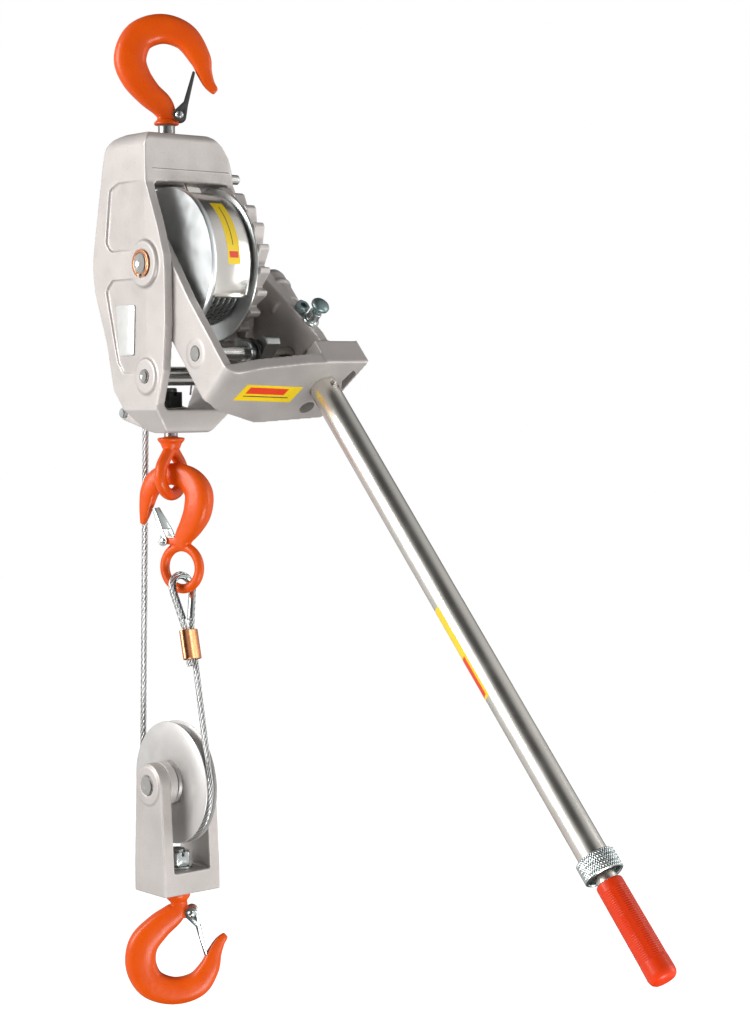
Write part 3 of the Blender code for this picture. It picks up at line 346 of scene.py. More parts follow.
BLACK = Look("black_oxide", (0.035, 0.038, 0.037), (0.06, 0.062, 0.06), 0.75, (0.32, 0.5),
             grain=((800.0, 0.06),), drift=60.0, edge=(0.16, 0.16, 0.155), edge_mix=0.6)
OILED = Look("oiled_steel", (0.30, 0.31, 0.30), (0.20, 0.205, 0.2), 0.9, (0.28, 0.42),
             grain=((700.0, 0.05),), drift=60.0, edge=(0.42, 0.42, 0.41), edge_mix=0.6)
WIRE = Look("galvanised_wire", (0.60, 0.61, 0.60), (0.42, 0.43, 0.42), 0.9, (0.28, 0.42),
            drift=160.0, edge=(0.8, 0.8, 0.79), edge_mix=0.3).wires(2.2, 0.10)
# Painted shade: the same galvanised wire as the falls, made darker for the rope wound in the drum's shade
# under the keeper band.
WOUND_WIRE_SHADED = Look("wound_wire", (0.34, 0.36, 0.35), (0.20, 0.22, 0.215), 0.9, (0.25, 0.4),
             drift=160.0, edge=(0.5, 0.5, 0.5), edge_mix=0.3).wires(2.2, 0.10)
COPPER = Look("copper", (0.76, 0.30, 0.14), (0.66, 0.24, 0.10), 1.0, (0.18, 0.30),
              grain=((500.0, 0.05),), drift=120.0, edge=(0.86, 0.5, 0.3), edge_mix=0.5)
VINYL = Look("orange_vinyl", (0.76, 0.042, 0.002), (0.70, 0.035, 0.002), 0.0, (0.30, 0.42),
             grain=((900.0, 0.03),), drift=60.0, coat=0.05)
TAG = Look("plain_tag", (0.80, 0.80, 0.78), (0.72, 0.72, 0.70), 0.6, (0.3, 0.42),
           grain=((600.0, 0.02),), drift=60.0, stretch=(1, 0.1, 1))
KNOB = Look("grey_zinc", (0.25, 0.33, 0.33), (0.20, 0.27, 0.27), 0.8, (0.30, 0.42),
            grain=((700.0, 0.03),), drift=60.0)
BRONZE = Look("bronze", (0.52, 0.34, 0.18), (0.40, 0.26, 0.14), 1.0, (0.3, 0.45),
              grain=((500.0, 0.04),), drift=90.0)
YELLOW = Look("yellow_film", (0.93, 0.66, 0.0), (0.88, 0.60, 0.0), 0.0, (0.25, 0.35), drift=40.0,
              grain=((300.0, 0.02),), coat=0.3)
RED = Look("red_ink", (0.80, 0.05, 0.01), (0.74, 0.04, 0.01), 0.0, (0.3, 0.4), drift=80.0)
INK = Look("dark_ink", (0.05, 0.045, 0.03), (0.08, 0.07, 0.05), 0.0, (0.35, 0.45), drift=80.0)
FLANGE = Look("plated_flange", (0.86, 0.89, 0.89), (0.76, 0.80, 0.80), 1.0, (0.30, 0.40),
              grain=((900.0, 0.03),), drift=30.0)
for soft_shine in (ENAMEL, VINYL):
    soft_shine.shader.inputs["Specular IOR Level"].default_value = 0.3
FLANGE.rings((0, AXLE_Y * MM, AXLE_Z * MM), 300.0, 0.006)


# ---------------------------------------------------------------- shape helpers

def link(name, data):
    made = bpy.data.objects.new(name, data)
    bpy.context.scene.collection.objects.link(made)
    return made


def evaluated(obj, weld=True):
    """The object's finished mesh, with the object itself taken away."""
    bpy.context.view_layer.update()
    graph = bpy.context.evaluated_depsgraph_get()
    mesh = bpy.data.meshes.new_from_object(obj.evaluated_get(graph))
    mesh.transform(obj.matrix_world)
    bpy.data.objects.remove(obj, do_unlink=True)
    if weld:
        shape = bmesh.new()
        shape.from_mesh(mesh)
        bmesh.ops.remove_doubles(shape, verts=shape.verts, dist=0.000002)
        bmesh.ops.dissolve_degenerate(shape, edges=shape.edges, dist=0.000001)
        bmesh.ops.recalc_face_normals(shape, faces=shape.faces)
        shape.to_mesh(mesh)
        shape.free()
    return mesh


def combine(base, tools, operation, solver):
    body = link("shape", base)
    cutters = [link("tool", tool) for tool in tools]
    for cutter in cutters:
        step = body.modifiers.new("step", "BOOLEAN")
        step.operation = operation
        step.object = cutter
        step.solver = solver
    made = evaluated(body)
    for cutter in cutters:
        bpy.data.objects.remove(cutter, do_unlink=True)
    return made


def joined(base, *tools):
    return combine(base, tools, "UNION", "EXACT")


def cut(base, *tools):
    return combine(base, tools, "DIFFERENCE", "EXACT")


def kept(base, *tools):
    return combine(base, tools, "INTERSECT", "EXACT")


def drilled(base, *tools):
    """Crisp machined cuts in a dense mesh."""
    return combine(base, tools, "DIFFERENCE", "MANIFOLD")


def gathered(*meshes):
    """Several closed meshes in one, which a remesh then fuses."""
    shape = bmesh.new()
    for mesh in meshes:
        shape.from_mesh(mesh)
    made = bpy.data.meshes.new("gathered")
    shape.to_mesh(made)
    shape.free()
    return made


def fused(mesh, voxel, passes, factor=0.5):
    """One skin over overlapping shapes, with the soft edges of a casting or a forging."""
    obj = link("fused", mesh)
    skin = obj.modifiers.new("skin", "REMESH")
    skin.mode = "VOXEL"
    skin.voxel_size = voxel * MM
    soft = obj.modifiers.new("soft", "SMOOTH")
    soft.factor = factor
    soft.iterations = passes
    return evaluated(obj, weld=False)


def softened(mesh, width, segments=2, angle=32.0):
    """Rounded edges on a crisp shape."""
    obj = link("softened", mesh)
    bevel = obj.modifiers.new("edge", "BEVEL")
    bevel.width = width * MM
    bevel.segments = segments
    bevel.limit_method = "ANGLE"
    bevel.angle_limit = radians(angle)
    return evaluated(obj)


def turned_to(mesh, axis):
    if axis == "x":
        mesh.transform(Matrix.Rotation(radians(90), 4, "Y"))
    if axis == "y":
        mesh.transform(Matrix.Rotation(radians(-90), 4, "X"))
    return mesh


def moved(mesh, x=0.0, y=0.0, z=0.0):
    mesh.transform(Matrix.Translation((x * MM, y * MM, z * MM)))
    return mesh


def rod(radius, start, end, axis="x", at=(0.0, 0.0), sides=48):
    shape = bmesh.new()
    bmesh.ops.create_cone(shape, cap_ends=True, segments=sides, radius1=radius * MM,
                          radius2=radius * MM, depth=(end - start) * MM)
    mesh = bpy.data.meshes.new("rod")
    shape.to_mesh(mesh)
    shape.free()
    turned_to(mesh, axis)
    middle = (start + end) / 2
    spot = {"x": (middle, at[0], at[1]), "y": (at[0], middle, at[1]), "z": (at[0], at[1], middle)}[axis]
    return moved(mesh, *spot)


def box(x, y, z):
    shape = bmesh.new()
    bmesh.ops.create_cube(shape, size=1.0)
    size = [(pair[1] - pair[0]) * MM for pair in (x, y, z)]
    middle = [(pair[1] + pair[0]) * MM / 2 for pair in (x, y, z)]
    bmesh.ops.scale(shape, vec=size, verts=shape.verts)
    bmesh.ops.translate(shape, vec=middle, verts=shape.verts)
    mesh = bpy.data.meshes.new("box")
    shape.to_mesh(mesh)
    shape.free()
    return mesh


def outline(points, low, high, plane="xz"):
    """A flat outline given thickness from low to high along the axis square to its plane."""
    data = bpy.data.curves.new("outline", "CURVE")
    data.dimensions = "2D"
    data.fill_mode = "BOTH"
    data.extrude = (high - low) * MM / 2
    spline = data.splines.new("POLY")
    spline.points.add(len(points) - 1)
    for spot, (u, v) in zip(spline.points, points):
        spot.co = (u * MM, v * MM, 0.0, 1.0)
    spline.use_cyclic_u = True
    mesh = evaluated(link("outline", data))
    middle = (low + high) / 2
    if plane == "xz":
        mesh.transform(Matrix.Rotation(radians(90), 4, "X"))
        return moved(mesh, y=middle)
    if plane == "yz":
        mesh.transform(Matrix.Rotation(radians(90), 4, "Z") @ Matrix.Rotation(radians(90), 4, "X"))
        return moved(mesh, x=middle)
    return moved(mesh, z=middle)


def turned(profile, steps=72, axis="z", closed=False):
    """A turned shape: (radius, height) points run down the outer side from top to bottom."""
    mesh = bpy.data.meshes.new("profile")
    count = len(profile)
    edges = [(i, i + 1) for i in range(count - 1)]
    if closed:
        edges.append((count - 1, 0))
    mesh.from_pydata([(r * MM, 0.0, z * MM) for r, z in profile], edges, [])
    obj = link("profile", mesh)
    screw = obj.modifiers.new("turn", "SCREW")
    screw.angle = 2 * pi
    screw.steps = steps
    screw.render_steps = steps
    screw.use_merge_vertices = True
    screw.merge_threshold = 0.000005
    return turned_to(evaluated(obj), axis)


def ring(outer, inner, low, high, axis="z", steps=72, edge=0.3):
    """A washer or sleeve with small chamfers."""
    profile = [(inner + edge, high), (outer - edge, high), (outer, high - edge), (outer, low + edge),
               (outer - edge, low), (inner + edge, low), (inner, low + edge), (inner, high - edge)]
    return turned_to(turned(profile, steps, "z", closed=True), axis)


def pin(radius, start, end, edge=0.8, steps=64, axis="x", dimple=0.0):
    """A shaft with chamfered ends; dimple is the depth of a centre mark in its start end."""
    foot = [(0, start)] if dimple == 0 else [(2.2, start), (0, start + dimple)]
    profile = [(0, end), (radius - edge, end), (radius, end - edge), (radius, start + edge),
               (radius - edge, start)] + foot
    return turned_to(turned(profile, steps), axis)


def hexagon(width, low, high, axis="z", at=(0.0, 0.0)):
    return rod(width / sqrt(3), low, high, axis, at, sides=6)


def nut(width, low, high, bore, slots=0):
    """A chamfered hexagon nut, with castle slots in its top where asked."""
    corner = width / sqrt(3)
    crown = turned([(0, high), (corner * 0.90, high), (corner * 1.02, high - corner * 0.09),
                    (corner * 1.02, low + corner * 0.09), (corner * 0.90, low), (0, low)], 48)
    tools = [rod(bore, low - 5, high + 5, "z")]
    for index in range(slots):
        slot = box((-30, 30), (-1.6, 1.6), (high - 4.0, high + 2))
        slot.transform(Matrix.Rotation(pi * index / slots, 4, "Z"))
        tools.append(slot)
    return softened(cut(kept(hexagon(width, low, high), crown), *tools), 0.25, 2)


def arc(cx, cy, radius, start, end, steps):
    return [(cx + radius * cos(radians(start + (end - start) * i / steps)),
             cy + radius * sin(radians(start + (end - start) * i / steps))) for i in range(steps + 1)]


def filleted(points, radius, steps=4):
    """The outline with each corner rounded as far as its neighbours allow."""
    made = []
    count = len(points)
    for i, point in enumerate(points):
        here = Vector(point)
        before = Vector(points[i - 1]) - here
        after = Vector(points[(i + 1) % count]) - here
        turn = before.angle(after)
        reach = min(radius / max(sin(turn / 2) / max(cos(turn / 2), 0.001), 0.001),
                    before.length * 0.45, after.length * 0.45)
        a = here + before.normalized() * reach
        b = here + after.normalized() * reach
        for step in range(steps + 1):
            t = step / steps
            spot = a * (1 - t) ** 2 + here * 2 * t * (1 - t) + b * t * t
            made.append((spot.x, spot.y))
    return made


def blend(points, per_span):
    """Points of a smooth line through the given points."""
    rows = [Vector(p) for p in points]
    ends = [rows[0] * 2 - rows[1]] + rows + [rows[-1] * 2 - rows[-2]]
    line = []
    for i in range(1, len(ends) - 2):
        for step in range(per_span):
            t = step / per_span
            a, b, c, d = ends[i - 1], ends[i], ends[i + 1], ends[i + 2]
            line.append(0.5 * (2 * b + (c - a) * t + (2 * a - 5 * b + 4 * c - d) * t * t
                               + (3 * b - a - 3 * c + d) * t ** 3))
    return line + [rows[-1]]


def pipe(points, radius, sides=4, cyclic=False):
    """A round wire through (x, y, z) points, with closed ends."""
    data = bpy.data.curves.new("pipe", "CURVE")
    data.dimensions = "3D"
    data.bevel_depth = radius * MM
    data.bevel_resolution = sides
    data.use_fill_caps = not cyclic
    data.twist_mode = "MINIMUM"
    spline = data.splines.new("POLY")
    spline.points.add(len(points) - 1)
    for spot, point in zip(spline.points, points):
        spot.co = (point[0] * MM, point[1] * MM, point[2] * MM, 1.0)
    spline.use_cyclic_u = cyclic
    return evaluated(link("pipe", data))


def grid(rows, closed_round=True, caps=True):
    """A skin over rows of points (arrays of millimetres), each row running round the shape."""
    verts = np.concatenate(rows) * MM
    count = len(rows[0])
    faces = []
    last = count if closed_round else count - 1
    for r in range(len(rows) - 1):
        for c in range(last):
            d = (c + 1) % count
            faces.append((r * count + c, r * count + d, (r + 1) * count + d, (r + 1) * count + c))
    if caps:
        faces.append(tuple(range(count - 1, -1, -1)))
        faces.append(tuple(range((len(rows) - 1) * count, len(rows) * count)))
    mesh = bpy.data.meshes.new("grid")
    mesh.from_pydata(verts.tolist(), [], faces)
    shape = bmesh.new()
    shape.from_mesh(mesh)
    bmesh.ops.recalc_face_normals(shape, faces=shape.faces)
    shape.to_mesh(mesh)
    shape.free()
    return mesh


def add(name, mesh, look, body, matrix=Matrix.Identity(4), sharp=38.0):
    """A new piece on a body, placed by a frame matrix."""
    mesh.transform(matrix)
    if matrix.determinant() < 0:
        mesh.flip_normals()
    mesh.name = name
    mesh.materials.clear()
    mesh.materials.append(look.material)
    mesh.shade_smooth()
    mesh.set_sharp_from_angle(angle=radians(sharp))
    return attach(link(name, mesh), body)


def fine(node, mesh, look, matrix=Matrix.Identity(4), sharp=38.0):
    """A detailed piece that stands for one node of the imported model."""
    obj = add(node + "_fine", mesh, look, BODY_OF[node], matrix, sharp)
    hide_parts(node)
    return obj


# ---------------------------------------------------------------- main frame

SIDE_OUTLINE = [(-2, 119), (2, 124), (8, 125), (42, 125), (56, 121), (65, 113), (69, 102), (84, 35),
                (89, 10), (90, -3), (87, -24), (67.5, -74), (57, -119), (42, -136), (28, -150),
                (18, -158), (8, -160), (-14, -160), (-16, -132), (-27, -101), (-31, -60), (-31.5, -10),
                (-30, 8), (-20, 37), (-3, 77)]
UPPER_POCKET = [(-9, 79), (43, 79), (59, 73), (67, 22), (59, 14), (-9, 12)]
LOWER_POCKET = [(-9, -13), (56, -13), (68, -23), (49, -92), (40, -103), (-9, -104)]
TAG_OUTLINE = [(51.5, -38), (18, -38), (21, -86), (46, -86)]
PLATE_LEAN = -2.2           # degrees by which the pockets and the tag run deeper towards the back
FAIRLEAD = (56, -141)


def front_outline():
    """The frame seen from the front: a round shoulder at top left, a long slope at top right."""
    return (arc(16 - HALF, 110, 16, 180, 90, 16)
            + [(21, 126), (30, 122), (39, 114), (46, 103), (49.5, 91), (HALF, 67), (HALF, -126), (11, -160.5),
               (-39, -160.5), (-HALF, -138)])


def frame_opening():
    half = HALF - PLATE
    return (arc(half - 7, 71, 7, 90, 0, 8) + [(half, -117), (half - 4, -122), (21, -138)]
            + arc(-half + 7, -131, 7, 270, 180, 8) + arc(-half + 7, 71, 7, 180, 90, 8))


def pocket(points):
    """A shallow recess in the left plate, deepest at its back edge and running out to the front."""
    mesh = outline(filleted(points, 6.0), -8.0, 0.0, "yz")
    mesh.transform(Matrix.Rotation(radians(PLATE_LEAN), 4, "Z"))
    return moved(mesh, x=-HALF)


def main_frame():
    body = outline(filleted(SIDE_OUTLINE, 5.0, 3), -HALF, HALF, "yz")
    body = kept(body, outline(front_outline(), -40, 100, "xz"))
    body = cut(body, outline(frame_opening(), -50, 110, "xz"), pocket(UPPER_POCKET), pocket(LOWER_POCKET),
               rod(WHEEL_TIP + 2.5, 25.5, HALF - PLATE - 0.2, "x", sides=96),
               box((-16, 20), (-1.2, 22), (60, 93)))
    boss = turned([(0, 4.0), (21.0, 4.0), (22.4, 2.4), (22.8, -5.0), (0, -5.0)], 72)
    low_boss = turned([(0, 2.6), (16.0, 2.6), (17.2, 1.4), (17.6, -5.0), (0, -5.0)], 72)
    for raised in (boss, low_boss):
        raised.transform(Matrix.Rotation(radians(-90), 4, "Y"))
    lug = [(20, -157), (20, -139), (50, -133.5)] + arc(*FAIRLEAD, 7.5, 90, -60, 12) + [(28, -155)]
    lugs = [outline(lug, low, low + 6.0, "yz") for low in (-40.5, 14.0)]
    skin = gathered(body, moved(boss, -HALF), moved(low_boss, -HALF, 0, -CROSS_DROP), *lugs)
    return drilled(fused(skin, FRAME_VOXEL, 4),
                   rod(SHAFT_R + 0.5, -80, 80, "x"),
                   rod(14.0, -58, -54.8, "x"),
                   rod(6.9, -80, 80, "x", (0, -CROSS_DROP)),
                   rod(5.0, -47.8, 80, "x", (ROD_Y, ROD_Z)),
                   rod(8.6, 60, 140, "z", (0, -AXLE_Y)),
                   rod(17.5, 60, 97, "z", (0, -AXLE_Y)),
                   rod(6.9, -180, -120, "z", (0, -AXLE_Y)),
                   rod(4.9, -80, 80, "x", FAIRLEAD),
                   box((-44, 45), (-8, -1.2), (89.5, 90.3)))


def snap_ring(inner, outer, low, high, gap):
    """An open ring; the gap faces down."""
    start, end = radians(-90 + gap), radians(270 - gap)
    steps = 40
    wide = [(outer * cos(start + (end - start) * i / steps), outer * sin(start + (end - start) * i / steps))
            for i in range(steps + 1)]
    narrow = [(inner * cos(end - (end - start) * i / steps), inner * sin(end - (end - start) * i / steps))
              for i in range(steps + 1)]
    return softened(outline(wide + narrow, low, high, "yz"), 0.3)


fine("main_frame", main_frame(), CAST, AXLE_FRAME, CAST_SHARP)
tag = outline(filleted(TAG_OUTLINE, 3.0), -1.4, -0.3, "yz")
tag.transform(Matrix.Rotation(radians(PLATE_LEAN), 4, "Z"))
fine("rating_plate", softened(moved(tag, x=-HALF), 0.25), TAG, AXLE_FRAME)
fine("drum_shaft", pin(SHAFT_R, -59.0, 67.0, 1.0, dimple=1.6), STEEL, AXLE_FRAME)
fine("drum_shaft_ring", snap_ring(SHAFT_R + 0.2, 13.2, -58.2, -56.3, 14), COPPER, AXLE_FRAME)
fine("drum_shaft_end_ring", snap_ring(SHAFT_R + 0.2, 13.2, 62.2, 64.0, 14), BLACK, AXLE_FRAME)
fine("cross_shaft", moved(pin(6.5, -57.0, 54.5, 0.9, dimple=1.2), 0, 0, -CROSS_DROP), STEEL, AXLE_FRAME)
fine("keeper_rod", moved(pin(4.7, -47.5, 64.0, 1.0), 0, ROD_Y, ROD_Z), STEEL, AXLE_FRAME)
fine("fairlead_pin", moved(pin(4.6, -44.0, 22.0, 0.7), 0, *FAIRLEAD), ZINC, AXLE_FRAME)
fine("arm_spacer", ring(17, SHAFT_R + 0.3, -33.3, -27.5, "x"), STEEL, AXLE_FRAME)
fine("cross_shaft_sleeve", moved(ring(9.0, 6.8, -42.4, 5.2, "x"), 0, 0, -CROSS_DROP), STEEL, AXLE_FRAME)


# ---------------------------------------------------------------- drum, rope and keeper band

def ratchet_wheel():
    points = []
    pitch = 360.0 / WHEEL_TEETH
    for tooth in range(WHEEL_TEETH):
        start = tooth * pitch + WHEEL_PHASE
        for share, radius in ((0.0, WHEEL_ROOT), (0.02, WHEEL_TIP), (0.24, WHEEL_TIP), (0.9, WHEEL_ROOT)):
            angle = radians(start + share * pitch)
            points.append((radius * cos(angle), radius * sin(angle)))
    disc = outline(filleted(points, 1.4, 3), 27.4, 39.4, "yz")
    hub = turned([(0, 42.0), (28.5, 42.0), (30.0, 40.5), (31.0, 38.0), (31.0, 28.4), (0, 28.4)], 72, "x")
    skin = fused(gathered(disc, hub), WHEEL_VOXEL, 3)
    return drilled(skin, rod(SHAFT_R + 0.3, 0, 80, "x"))


def flange(low, high):
    """A stamped disc with a rolled rim."""
    middle = (low + high) / 2
    half = (high - low) / 2
    profile = [(SHAFT_R + 0.3, high), (FLANGE_R - 1.0, high), (FLANGE_R - 0.3, middle + half * 0.6),
               (FLANGE_R, middle), (FLANGE_R - 0.3, middle - half * 0.6), (FLANGE_R - 1.0, low),
               (SHAFT_R + 0.3, low)]
    return turned_to(turned(profile, 128, "z", closed=True), "x")


def along(path, step):
    """Evenly spaced points of a path with its direction at each."""
    points = np.array(path, float)
    runs = np.concatenate([[0.0], np.cumsum(np.linalg.norm(np.diff(points, axis=0), axis=1))])
    where = np.linspace(0.0, runs[-1], max(int(runs[-1] / step), 2) + 1)
    line = np.stack([np.interp(where, runs, points[:, k]) for k in range(3)], axis=1)
    ahead = np.gradient(line, axis=0)
    return line, ahead / np.linalg.norm(ahead, axis=1)[:, None], where


def tube_rows(line, ahead, lead, radius, sides):
    """Rings of points round a line; lead turns with the line and marks the first side."""
    lead = lead - ahead * np.sum(lead * ahead, axis=1)[:, None]
    lead /= np.linalg.norm(lead, axis=1)[:, None]
    other = np.cross(ahead, lead)
    turns = np.linspace(0, 2 * pi, sides, endpoint=False)
    rings = [line + radius * (cos(t) * lead + sin(t) * other) for t in turns]
    return np.stack(rings, axis=1)


def laid_rope(path, phase=0.0, radius=ROPE_R, step=1.6, sides=9, wire_lay=20.0):
    """Six strands laid round a core along a path; the phase is that of the lay at its start."""
    line, ahead, where = along(path, step)
    side = np.array([1.0, 0.0, 0.0]) - ahead * ahead[:, :1]
    side /= np.linalg.norm(side, axis=1)[:, None]
    up = np.cross(ahead, side)
    verts, faces, marks = [], [], []
    base = 0
    rows = len(line)
    for strand in range(7):
        turn = phase + 2 * pi * where / LAY + strand * pi / 3
        out = np.cos(turn)[:, None] * side + np.sin(turn)[:, None] * up
        middle = strand == 6
        centre = line if middle else line + out * radius * 0.645
        run = np.gradient(centre, axis=0)
        run /= np.linalg.norm(run, axis=1)[:, None]
        verts.append(tube_rows(centre, run, out, radius * (0.34 if middle else 0.355), sides).reshape(-1, 3))
        for r in range(rows - 1):
            for c in range(sides):
                d = (c + 1) % sides
                low, high = base + r * sides, base + (r + 1) * sides
                faces.append((low + c, low + d, high + d, high + c))
                for share, row in ((c, r), (c + 1, r), (c + 1, r + 1), (c, r + 1)):
                    marks.append((share / sides, -where[row] / wire_lay))
        for row, flip in ((0, -1), (rows - 1, 1)):
            faces.append(tuple(base + row * sides + c for c in range(sides))[::flip])
            marks += [(0.0, 0.0)] * sides
        base += rows * sides
    mesh = bpy.data.meshes.new("rope")
    mesh.from_pydata((np.concatenate(verts) * MM).tolist(), [], faces)
    layer = mesh.uv_layers.new(name="strand")
    layer.data.foreach_set("uv", np.array(marks, dtype=np.float32).ravel())
    return mesh


WOUND_TURNS, FIRST_LAYER, STEPS_A_TURN = 7, 6, 72
WOUND_R, CLIMB, CREEP = 54.8, 6.3, 0.8


def wound_rope():
    """A full first layer and part of a second, which leads off to the fall at the back."""
    pitch = (DRUM_RIGHT - DRUM_LEFT) / WOUND_TURNS
    path = []
    for step in range(FIRST_LAYER * STEPS_A_TURN + 1):
        turns = step / STEPS_A_TURN
        path.append((DRUM_RIGHT - ROPE_R - pitch * turns, WOUND_R, 360.0 * turns))
    first_x, _, first_angle = path[-1]
    for step in range(1, 25):
        t = step / 24
        path.append((first_x + 0.6 * t, WOUND_R + CLIMB * t, first_angle + 120 * t))
    x, r, angle = path[-1]
    left = 360.0 * WOUND_TURNS - angle
    count = int(left / 360.0 * STEPS_A_TURN)
    for step in range(1, count + 1):
        t = step / count
        path.append((x + (FALL_X - x) * t, r + CREEP * t, angle + left * t))
    spots = [(x, r * cos(radians(-a)), r * sin(radians(-a))) for x, r, a in path]
    return laid_rope(spots, step=2.2, sides=7)


fine("ratchet_wheel", ratchet_wheel(), CAST, AXLE_FRAME, CAST_SHARP)
fine("left_flange", flange(-27.2, -20.6), FLANGE, AXLE_FRAME)
fine("right_flange", flange(24.6, 27.2), FLANGE, AXLE_FRAME)
# The wound rope takes the wire finish darkened with painted shade.
fine("rope_on_drum", wound_rope(), WOUND_WIRE_SHADED, AXLE_FRAME, ROPE_SHARP)
fine("drum_core", ring(50.5, SHAFT_R + 0.3, DRUM_LEFT, DRUM_RIGHT, "x", 96), BLACK, AXLE_FRAME)


def keeper_band():
    """The band hangs on its rod and follows the drum's front, with a turned lip at its lower edge."""
    outer = arc(0, 0, BAND_R, 90, 206, 96)
    inner = arc(0, 0, BAND_R - BAND_T, 206, 90, 96)
    lip = [(-BAND_R * 0.915 - 3.0, -BAND_R * 0.44 - 2.2), (-BAND_R * 0.9 - 0.5, -BAND_R * 0.44 - 3.2)]
    band = softened(outline(outer + lip + inner, BAND_X0, BAND_X1, "yz"), 0.35)
    eye = moved(ring(6.9, 5.0, -8, 8, "x"), 5.0, ROD_Y, ROD_Z)
    strap = [(2.6, 83.2), (6.2, 79.2), (5.2, 76), (0.5, 68.4), (-3.5, 68.6), (1.6, 76)]
    return gathered(band, eye, softened(outline(strap, -2.5, 12.5, "yz"), 0.4))


def curved_sheet(radius, start, end, low, high, thick, steps=32):
    """A film bent round the axle between two angles and two places along it."""
    points = arc(0, 0, radius + thick, start, end, steps) + arc(0, 0, radius, end, start, steps)
    return outline(points, low, high, "yz")


fine("keeper_band", keeper_band(), BAND, AXLE_FRAME, 30)
add("band_label", curved_sheet(BAND_R, 126, 182, -6, 8, 0.12), YELLOW, "keeper", AXLE_FRAME)
add("band_label_red", curved_sheet(BAND_R, 172, 177, -4, 6, 0.2), RED, "keeper", AXLE_FRAME)
add("band_label_rule", curved_sheet(BAND_R, 131, 167, 0.6, 1.4, 0.19), INK, "keeper", AXLE_FRAME)


# ---------------------------------------------------------------- handle yoke

def yoke_outline(points, low, high, plane):
    """Outlines in (s, n) for plane sn, (x, s) for xs or (x, n) for xn, in the yoke's own frame."""
    if plane == "sn":
        return outline([(-n, -s) for s, n in points], low, high, "yz")
    if plane == "xs":
        return outline([(x, -s) for x, s in points], -high, -low, "xz")
    return outline([(x, -n) for x, n in points], -high, -low, "xy")


def handle_yoke():
    left_points = arc(0, 0, 26, 106, 254, 30)
    left_points += [(70, -28), (128, -29), (146, -29), (155, -27), (158, -22), (158, 17), (120, 18), (60, 19)]
    left = yoke_outline(filleted(left_points, 3.0, 2), -42.6, -33.6, "sn")
    wall = [(-42.6, 17), (-9, 26), (44, 33), (112, 35), (105, -5), (101, -44), (23, -50), (-34, -30),
            (-42.6, -24)]
    end_wall = yoke_outline(filleted(wall, 4.0), 146, 158, "xn")
    flare = [(52.6, -30), (52.6, 42), (70, 122), (70, 150), (79, 150), (79, 118), (61.6, 38), (61.6, -30)]
    right_points = arc(0, 0, 26, 95, 265, 30) + [(60, -31), (150, -44), (150, 34.5), (110, 33), (45, 28.5)]
    right = kept(yoke_outline(flare, -60, 60, "xs"), yoke_outline(right_points, 40, 100, "sn"))
    raised_flare = [(x + 2.0, s) for x, s in flare]
    ribs = []
    for near in (-19.0, 14.0):
        far = near * 1.35
        strip = yoke_outline([(36, near), (148, far), (148, far + 3.2), (36, near + 3.2)], 40, 100, "sn")
        ribs.append(kept(yoke_outline(raised_flare, -60, 60, "xs"), strip))
    socket = yoke_outline([(62, 34.5), (112, 35), (105, -5), (101, -44), (62, -46)], 130, 157, "xn")
    stop = turned([(0, 0), (8, -1.5), (12.5, -5.5), (14.5, -11), (14.5, -20), (15.8, -21), (15.8, -24),
                   (14.5, -25), (14.5, -46), (0, -46)], 64)
    pawl_boss = rod(13.0, -43.2, -36, "x", (-PAWL_N, -PAWL_S), 64)
    corner = cut(box((-60, -28.6), (-60, 60), (-175, -144)), rod(14, -70, 70, "y", (-28.6, -144), 96))
    left, end_wall = cut(left, corner.copy()), cut(end_wall, corner)
    skin = gathered(left, end_wall, right, socket, moved(stop, 70.6, -15.0, -24.0), pawl_boss, *ribs)
    slot = [(100, 24), (106.5, 18), (102.5, -6), (95, 8)]
    return drilled(fused(skin, FRAME_VOXEL, 4),
                   rod(SHAFT_R + 0.4, -80, 100, "x"),
                   rod(PAWL_R + 0.3, -80, 60, "x", (-PAWL_N, -PAWL_S)),
                   rod(PAWL_R + 0.3, 60, 90, "x", (-PAWL_N, -PAWL_S)),
                   rod(TUBE_R + 0.3, -200, -120, "z", (TUBE_X, 0), 96),
                   yoke_outline(filleted(slot, 2.0), 100, 170, "xn"),
                   rod(8.0, -170, -139, "z", (74.0, 29.0)),
                   rod(3.9, -60, 0, "y", (PLUNGER_X, -104.0)))


def at_yoke(x, s, n):
    return YOKE_FRAME @ Matrix.Translation((x * MM, -n * MM, -s * MM))


FACING_FRONT = Matrix.Rotation(radians(90), 4, "X")

fine("handle_yoke", handle_yoke(), CAST, YOKE_FRAME, CAST_SHARP)
fine("pawl_shaft", moved(pin(PAWL_R, -43.8, 80.5, 0.9), 0, -PAWL_N, -PAWL_S), STEEL, YOKE_FRAME)
fine("pawl_washer", moved(ring(12.5, PAWL_R + 0.2, 12.6, 14.6, "x"), 0, -PAWL_N, -PAWL_S), ZINC, YOKE_FRAME)
stud = turned([(0, 8.2), (2.8, 8.2), (3.4, 7.4), (3.4, -3), (0, -3)])
socket_nut = moved(gathered(nut(13.0, 0.4, 6.5, 3.4), stud), 74.0, 29.0, -146.2)
fine("socket_nut", socket_nut, ZINC, YOKE_FRAME)
fine("handle_pin", moved(pin(2.4, -17.0, 17.0, 0.4, 32, "y"), TUBE_X, 0, -165.0), STEEL, YOKE_FRAME)

